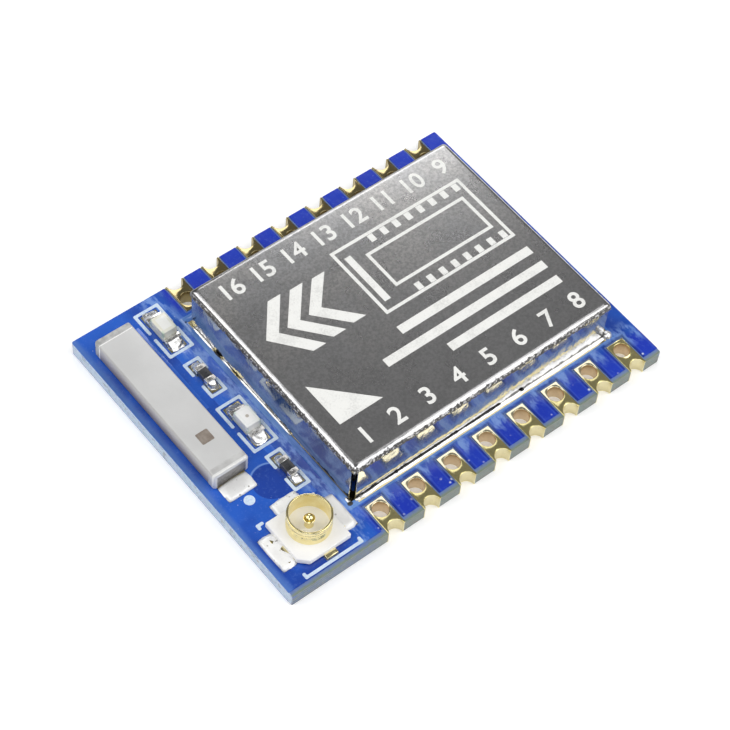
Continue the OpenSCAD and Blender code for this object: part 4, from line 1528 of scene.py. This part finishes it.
    def lap(self) -> None:
        """Makes the edge of the mask that laps over the can's land, and up to the wall where that is bare."""
        low, high = span("screening_can")
        _, land = span("surface_lands")
        z0, z1, edge = land.z - 0.05, land.z + 0.012, 0.33
        bare_y = low.y + self.bare
        shape = Shape()
        for x0, y0, x1, y1 in (
            (low.x - edge, low.y - edge, low.x - 0.17, high.y + edge),
            (low.x - 0.18, low.y + 0.1, low.x - 0.01, bare_y),
            (low.x - 0.18, bare_y - 0.02, low.x - 0.07, high.y + 0.1),
            (low.x - 0.18, high.y - 0.02, low.x + 0.4, high.y + 0.21),
            (low.x - 0.18, low.y - edge, high.x + edge, low.y - 0.22),
            (high.x + 0.2, low.y - 0.23, high.x + edge, high.y + edge),
            (low.x - 0.18, high.y + 0.2, high.x + 0.21, high.y + edge),
            (low.x - 0.18, low.y - 0.23, low.x + 0.24, low.y - 0.01),
        ):
            shape.box((x0, y0, z0), (x1, y1, z1))
        shape.ease(0.02, 2, shape.sharp(30, lambda at: at.z > z1 - 0.001))
        # Its paler mask finish is painted sheen.
        shape.piece("mask_lap", "mask_blue", self.finishes.mask_rim)

    def build(self) -> None:
        """Makes the can, its seam and its print."""
        self.shell()
        self.seam()
        self.residue()
        self.lap()
        CanPrint(self.finishes).build()


# ---- Aerial ----


@dataclass
class ChipAerial(Assembly):
    """Ceramic chip aerial with a fired termination at each end."""

    edge_r: float = 0.12
    skin: float = 0.03
    shy: float = 0.008
    mark_w: float = 0.62
    mark_off: float = 1.4
    bulge: float = 0.16

    def body(self, low: Vector, high: Vector) -> None:
        """Makes the ceramic block and its feed mark.

        Args:
            low: lowest corner of the whole aerial.
            high: its highest corner.
        """
        block = Shape()
        block.box(low + Vector((self.shy, self.skin, 0)), high - Vector((self.shy, self.skin, self.shy)))
        block.ease(self.edge_r * 0.8, 4)
        block.piece("aerial_block", "aerial_ceramic", self.finishes.ceramic, ["aerial_body"])
        x, y, z = (low.x + high.x) / 2, span("aerial_feed_cap")[1].y + self.mark_off, high.z - self.shy
        half = self.mark_w / 2
        mark = Shape()
        mark.box((x - half, y - half, z - 0.01), (x + half, y + half, z + 0.006))
        mark.ease(0.05, 2, mark.sharp(30, lambda at: abs(at.z - z) < 0.004))
        mark.piece("aerial_mark", "aerial_ceramic", self.finishes.mark)

    def cap(
        self, name: str, low: Point, high: Point, inner: float, seed: float, paint: Material,
    ) -> None:
        """Makes one termination, ragged where it ends on the ceramic.

        Args:
            name: feed or open.
            low: its lowest corner.
            high: its highest corner.
            inner: Y of its ragged end.
            seed: place in the noise.
            paint: its finish.
        """
        cap = Shape()
        cap.box(low, high)
        cap.ease(self.edge_r, 4)
        bmesh.ops.subdivide_edges(cap.bm, edges=cap.bm.edges, cuts=3, use_grid_fill=True)
        cap.roughen(0.05, 3.5, lambda at: abs(at.y - inner) < 0.02, seed)
        cap.roughen(0.016, 7.0, lambda at: abs(at.y - inner) >= 0.02 and at.z < high[2] - 0.02, seed + 2)
        cap.piece(f"aerial_{name}_end", "end_silver", paint, [f"aerial_{name}_cap"], 40.0)

    def build(self) -> None:
        """Makes the body, the terminations and their solder."""
        low, feed = span("aerial_feed_cap")
        opened, high = span("aerial_open_cap")
        self.body(low, high)
        self.cap("feed", low, (high.x, feed.y, high.z), feed.y, 1.0, self.finishes.feed_end)
        end = (high.x, high.y + self.bulge, high.z)
        self.cap("open", (low.x, opened.y, low.z), end, opened.y, 5.0, self.finishes.open_end)
        left, right = span("aerial_solder")
        foot = low.z - 0.004
        solder = Shape()
        solder.mound(
            (left.x - 0.05, left.y - 0.05, foot), (right.x + 0.05, low.y + 0.04, low.z + 0.09), 2.0, 0.3, 9, 12,
        )
        solder.mound((left.x, high.y - 0.04, foot), (right.x, right.y, low.z + 0.2), 6.0, 0.5)
        solder.piece("aerial_joints", "solder", self.finishes.solder_matt, ["aerial_solder"], 60.0)


# ---- Socket ----


@dataclass
class AerialSocket(Assembly):
    """Coaxial socket: moulded base, snap ring, centre contact and soldered terminals."""

    ring_r: float = 1.0
    wall: float = 0.1
    groove: float = 0.045
    groove_drop: float = 0.38
    pin_r: float = 0.25
    pin_drop: float = 0.12
    chamfer: float = 0.4
    plate_t: float = 0.1
    plate_w: float = 1.5
    tab_w: float = 1.0

    def axis(self) -> tuple[float, float]:
        """X and Y of the ring's axis."""
        low, high = span("socket_contact")
        return (low.x + high.x) / 2, high.y - self.pin_r

    def arc(self, radius: float, height: float, bend: float, start: float) -> list[tuple[float, float]]:
        """Rounds one corner of a profile.

        Args:
            radius: radius of the rounding's middle about the socket's axis.
            height: height of its middle.
            bend: radius of the rounding itself.
            start: angle at which its quarter turn starts, in degrees.

        Returns:
            Radius and height of its points.
        """
        angles = [math.radians(start + 22.5 * step) for step in range(5)]
        return [(radius + bend * math.cos(angle), height + bend * math.sin(angle)) for angle in angles]

    def base(self) -> None:
        """Makes the moulded base with its chamfered corner."""
        low, high = span("socket_base")
        cut = self.chamfer
        shape = Shape()
        outline = [(low.x + cut, low.y), (high.x, low.y), (high.x, high.y)]
        outline += [(low.x, high.y), (low.x, low.y + cut)]
        shape.plate(outline, low.z + 0.055, high.z)
        shape.ease(0.035, 3, shape.sharp(30, lambda at: at.z > low.z + 0.09))
        shape.piece("socket_moulding", "moulding_white", self.finishes.moulding, ["socket_base"])

    def ring(self) -> None:
        """Makes the snap ring with its groove and its rounded lip."""
        deck, top = span("socket_base")[1].z, span("socket_shell")[1].z
        outer, inner = self.ring_r, self.ring_r - self.wall
        waist, neck = top - self.groove_drop, outer - self.groove
        profile = [(inner, deck - 0.06), (outer - 0.01, deck - 0.06), (outer, deck + 0.01)]
        profile += [(outer, waist - 0.18), (neck, waist - 0.1), (neck, waist + 0.08), (outer, waist + 0.15)]
        profile += self.arc(outer - 0.04, top - 0.04, 0.04, 0) + self.arc(inner + 0.03, top - 0.03, 0.03, 90)
        shape = Shape()
        shape.turned(profile, self.axis(), 72)
        shape.piece("socket_ring", "gold_plate", self.finishes.bright_gold, ["socket_shell"], 50.0)

    def contact(self) -> None:
        """Makes the centre contact, a waisted pin with a domed head, and its tail."""
        low, high = span("socket_contact")
        base_low, base_high = span("socket_base")
        r, deck, crown = self.pin_r, base_high.z, high.z - self.pin_drop
        profile = [(0, deck - 0.05), (r * 0.86, deck - 0.05), (r * 0.8, deck + 0.03)]
        profile += [(r * 0.76, crown - 0.12), (r * 0.8, crown - 0.06), (r, crown - 0.03)]
        profile += [(r, crown + 0.03), (r * 0.86, crown + 0.05)]
        for bend in (0.35, 0.7, 1.05, 1.35):
            profile.append((r * 0.86 * math.cos(bend), crown + 0.05 + 0.18 * math.sin(bend)))
        profile.append((0, crown + 0.235))
        shape = Shape()
        shape.turned(profile, self.axis(), 40)
        foot = base_low.z
        tail = shape.box((low.x, low.y, foot), (high.x, base_low.y + 0.3, foot + self.plate_t))
        edges = {edge for vert in tail for edge in vert.link_edges}
        shape.ease(0.02, 2, [edge for edge in edges if edge.is_manifold])
        shape.piece("socket_pin", "gold_plate", self.finishes.bright_gold, ["socket_contact"], 50.0)

    def terminals(self) -> None:
        """Makes the ground terminals, two wings and a tab, and the solder that covers them."""
        low, high = span("socket_base")
        out_low, out_high = span("socket_shell")
        x, mid, foot = self.axis()[0], (low.y + high.y) / 2, low.z
        top, wing, tab = foot + self.plate_t, self.plate_w / 2, self.tab_w / 2
        shape = Shape()
        shape.box((out_low.x, mid - wing, foot), (low.x + 0.3, mid + wing, top))
        shape.box((high.x - 0.3, mid - wing, foot), (out_high.x, mid + wing, top))
        shape.box((x - tab, high.y - 0.3, foot), (x + tab, out_high.y, top))
        shape.ease(0.02).piece("socket_terminals", "gold_plate", self.finishes.gold)
        left, right = span("socket_solder")
        z0, z1, flat = foot - 0.004, foot + 0.11, (0.5, 11, 14)
        pools = Shape()
        pools.mound((left.x - 0.05, mid - 0.95, z0), (low.x + 0.06, mid + 0.95, z1), 1.0, *flat)
        pools.mound((high.x - 0.06, mid - 0.95, z0), (right.x + 0.05, mid + 0.95, z1), 3.0, *flat)
        pools.mound((x - 0.7, high.y - 0.06, z0), (x + 0.7, right.y + 0.05, z1), 8.0, *flat)
        pools.piece("socket_joints", "solder", self.finishes.solder_matt, ["socket_solder"], 60.0)

    def build(self) -> None:
        """Makes the socket's parts."""
        self.base()
        self.ring()
        self.contact()
        self.terminals()


# ---- Lamps and small parts ----


@dataclass
class Lamp(Assembly):
    """One lamp: base board, plated ends, cast lens and die."""

    role: LampRole
    lens_r: float = 0.045

    def build(self) -> None:
        """Makes the lamp's parts."""
        name = self.role.value
        refine(f"{name}_base", "lamp_board", self.finishes.lamp_board, 0.012, 1)
        refine(f"{name}_ends", "tin_plate", self.finishes.tin, 0.015)
        slot, material = "lens_clear", self.finishes.lens_clear
        if self.role is LampRole.POWER:
            slot, material = "lens_warm", self.finishes.lens_warm
        lens = Shape.of_node(f"{name}_lens")
        low, _ = span(f"{name}_lens")
        lens.ease(self.lens_r, 3, lens.sharp(30, lambda at: at.z > low.z + 0.12))
        lens.piece(f"{name}_lens_cast", slot, material, [f"{name}_lens"])
        dress(f"{name}_die", self.finishes.die)


@dataclass
class SmallParts(Assembly):
    """Resistors beside the lamps, and the solder of the whole row."""

    reach: float = 0.36
    resistor_l: float = 1.0

    def joints(self, shape: Shape, low: Vector, high: Vector, height: float, seed: float) -> None:
        """Adds the two fillets of a part that lies along Y.

        Args:
            shape: the row's solder.
            low: the part's lowest corner.
            high: its highest corner.
            height: how far the solder climbs.
            seed: place in the noise.
        """
        for y, out, turn in ((high.y, 1, 0), (low.y, -1, 2)):
            shape.bead(
                (low.x, y, low.z), (1, 0, 0), (0, out, 0), high.x - low.x, self.reach, height,
                0.45, 0.5, seed + turn, 12, 0.14,
            )

    def build(self) -> None:
        """Makes the row's resistors and joints."""
        refine("lamp_resistor_bodies", "resistor_black", self.finishes.resistor, 0.02)
        refine("lamp_resistor_ends", "tin_plate", self.finishes.tin, 0.018)
        shape = Shape()
        for role in LampRole:
            low, high = span(f"{role.value}_ends")
            self.joints(shape, low, high, 0.24, low.y)
        low, high = span("lamp_resistor_ends")
        for y in (low.y, high.y - self.resistor_l):
            end = Vector((high.x, y + self.resistor_l, high.z))
            self.joints(shape, Vector((low.x, y, low.z)), end, 0.26, y)
        shape.piece("row_joints", "solder", self.finishes.solder, ["small_part_solder"], 60.0)


@dataclass
class InnerParts(Assembly):
    """Parts under the can, seen through its slits only."""

    ease: float = 0.03
    lead_ease: float = 0.021
    chip_ease: float = 0.015

    def build(self) -> None:
        """Eases or dresses each of them."""
        made, tin = self.finishes, self.finishes.tin
        for node, slot, material, width, segments in (
            ("controller_body", "chip_black", made.chip, self.ease, 2),
            ("memory_body", "chip_black", made.chip, self.ease, 2),
            ("crystal_base", "crystal_ceramic", made.crystal, self.lead_ease, 2),
            ("crystal_lid", "can_sheet", tin, self.ease, 2),
            ("memory_leads", "tin_plate", tin, self.lead_ease, 1),
            ("capacitor_bodies", "capacitor_tan", made.capacitor, self.chip_ease, 1),
            ("pull_resistor_bodies", "resistor_black", made.resistor, self.chip_ease, 1),
            ("inductor_bodies", "inductor_blue", made.inductor, self.chip_ease, 1),
            ("capacitor_ends", "tin_plate", tin, self.chip_ease, 1),
            ("pull_resistor_ends", "tin_plate", tin, self.chip_ease, 1),
            ("inductor_ends", "tin_plate", tin, self.chip_ease, 1),
        ):
            refine(node, slot, material, width, segments)
        dress("controller_pads", tin)
        dress("inner_solder", made.solder)


# ---- Studio ----


@dataclass(frozen=True)
class Softbox:
    """Square soft light, by the direction that it shines from; size and distance are in metres."""

    name: str
    toward: tuple[float, float, float]
    size: float
    radiance: float
    distance: float = 0.35

    def build(self) -> None:
        """Hangs the light."""
        data = bpy.data.lights.new(self.name, "AREA")
        data.shape, data.size = "SQUARE", self.size
        data.energy = self.radiance * math.pi * self.size ** 2
        lamp = bpy.data.objects.new(self.name, data)
        place = Vector(self.toward).normalized()
        turn = place.to_track_quat("Z", "Y").to_matrix().to_4x4()
        lamp.matrix_world = Matrix.Translation(place * self.distance) @ turn
        bpy.context.scene.collection.objects.link(lamp)


@dataclass(frozen=True)
class Studio:
    """Floor, lights and camera."""

    lens: float = 111.46
    sensor: float = 36.0
    eye: tuple[float, float, float] = (-40.819, -42.175, 82.976)
    right: tuple[float, float, float] = (0.7782, -0.6249, 0.0629)
    down: tuple[float, float, float] = (-0.4856, -0.6622, -0.5706)
    forward: tuple[float, float, float] = (0.3982, 0.4135, -0.8188)
    floor_half: float = 0.6
    sky: float = 0.20
    lights: tuple[Softbox, ...] = (
        Softbox("box_front_right", (0.42, -0.46, 0.78), 0.30, 2.1),
        Softbox("box_left", (-0.53, 0.38, 0.76), 0.29, 2.0),
        Softbox("box_back", (0.52, 0.73, 0.55), 0.15, 3.2),
        Softbox("box_overhead", (-0.45, -0.45, 0.77), 0.16, 3.0),
        Softbox("strip_front", (0.40, -0.86, 0.32), 0.14, 1.6),
    )

    def camera(self) -> None:
        """Sets up the camera."""
        data = bpy.data.cameras.new("camera")
        data.sensor_width, data.lens = self.sensor, self.lens
        data.clip_start, data.clip_end = 0.001, 10.0
        camera = bpy.data.objects.new("camera", data)
        axes = Matrix((self.right, -Vector(self.down), -Vector(self.forward))).transposed().to_4x4()
        camera.matrix_world = Matrix.Translation(Vector(self.eye) * MM) @ axes
        bpy.context.scene.collection.objects.link(camera)
        bpy.context.scene.camera = camera

    def floor(self) -> None:
        """Lays the floor."""
        bm = bmesh.new()
        bmesh.ops.create_grid(bm, x_segments=4, y_segments=4, size=self.floor_half)
        mesh = bpy.data.meshes.new("studio_floor")
        bm.to_mesh(mesh)
        bm.free()
        mesh.materials.append(Backdrop().make())
        floor = bpy.data.objects.new("studio_floor", mesh)
        bpy.context.scene.collection.objects.link(floor)

    def build(self) -> None:
        """Makes the studio."""
        self.camera()
        self.floor()
        for light in self.lights:
            light.build()
        world = bpy.data.worlds.new("studio_air")
        world.use_nodes = True
        air = world.node_tree.nodes["Background"].inputs
        air["Color"].default_value, air["Strength"].default_value = (1.0, 1.0, 1.0, 1.0), self.sky
        bpy.context.scene.world = world
        bpy.context.scene.view_settings.view_transform = "Standard"


def main() -> None:
    """Builds the studio and every assembly."""
    logging.basicConfig(level=logging.INFO, format="%(message)s")
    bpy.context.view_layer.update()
    finishes = Finishes()
    Studio().build()
    for assembly in (
        Board(finishes), ScreeningCan(finishes), ChipAerial(finishes), AerialSocket(finishes),
        Lamp(finishes, LampRole.POWER), Lamp(finishes, LampRole.STATUS), SmallParts(finishes),
        InnerParts(finishes),
    ):
        LOG.info("-- %s", type(assembly).__name__)
        assembly.build()


if __name__ == "__main__":
    main()
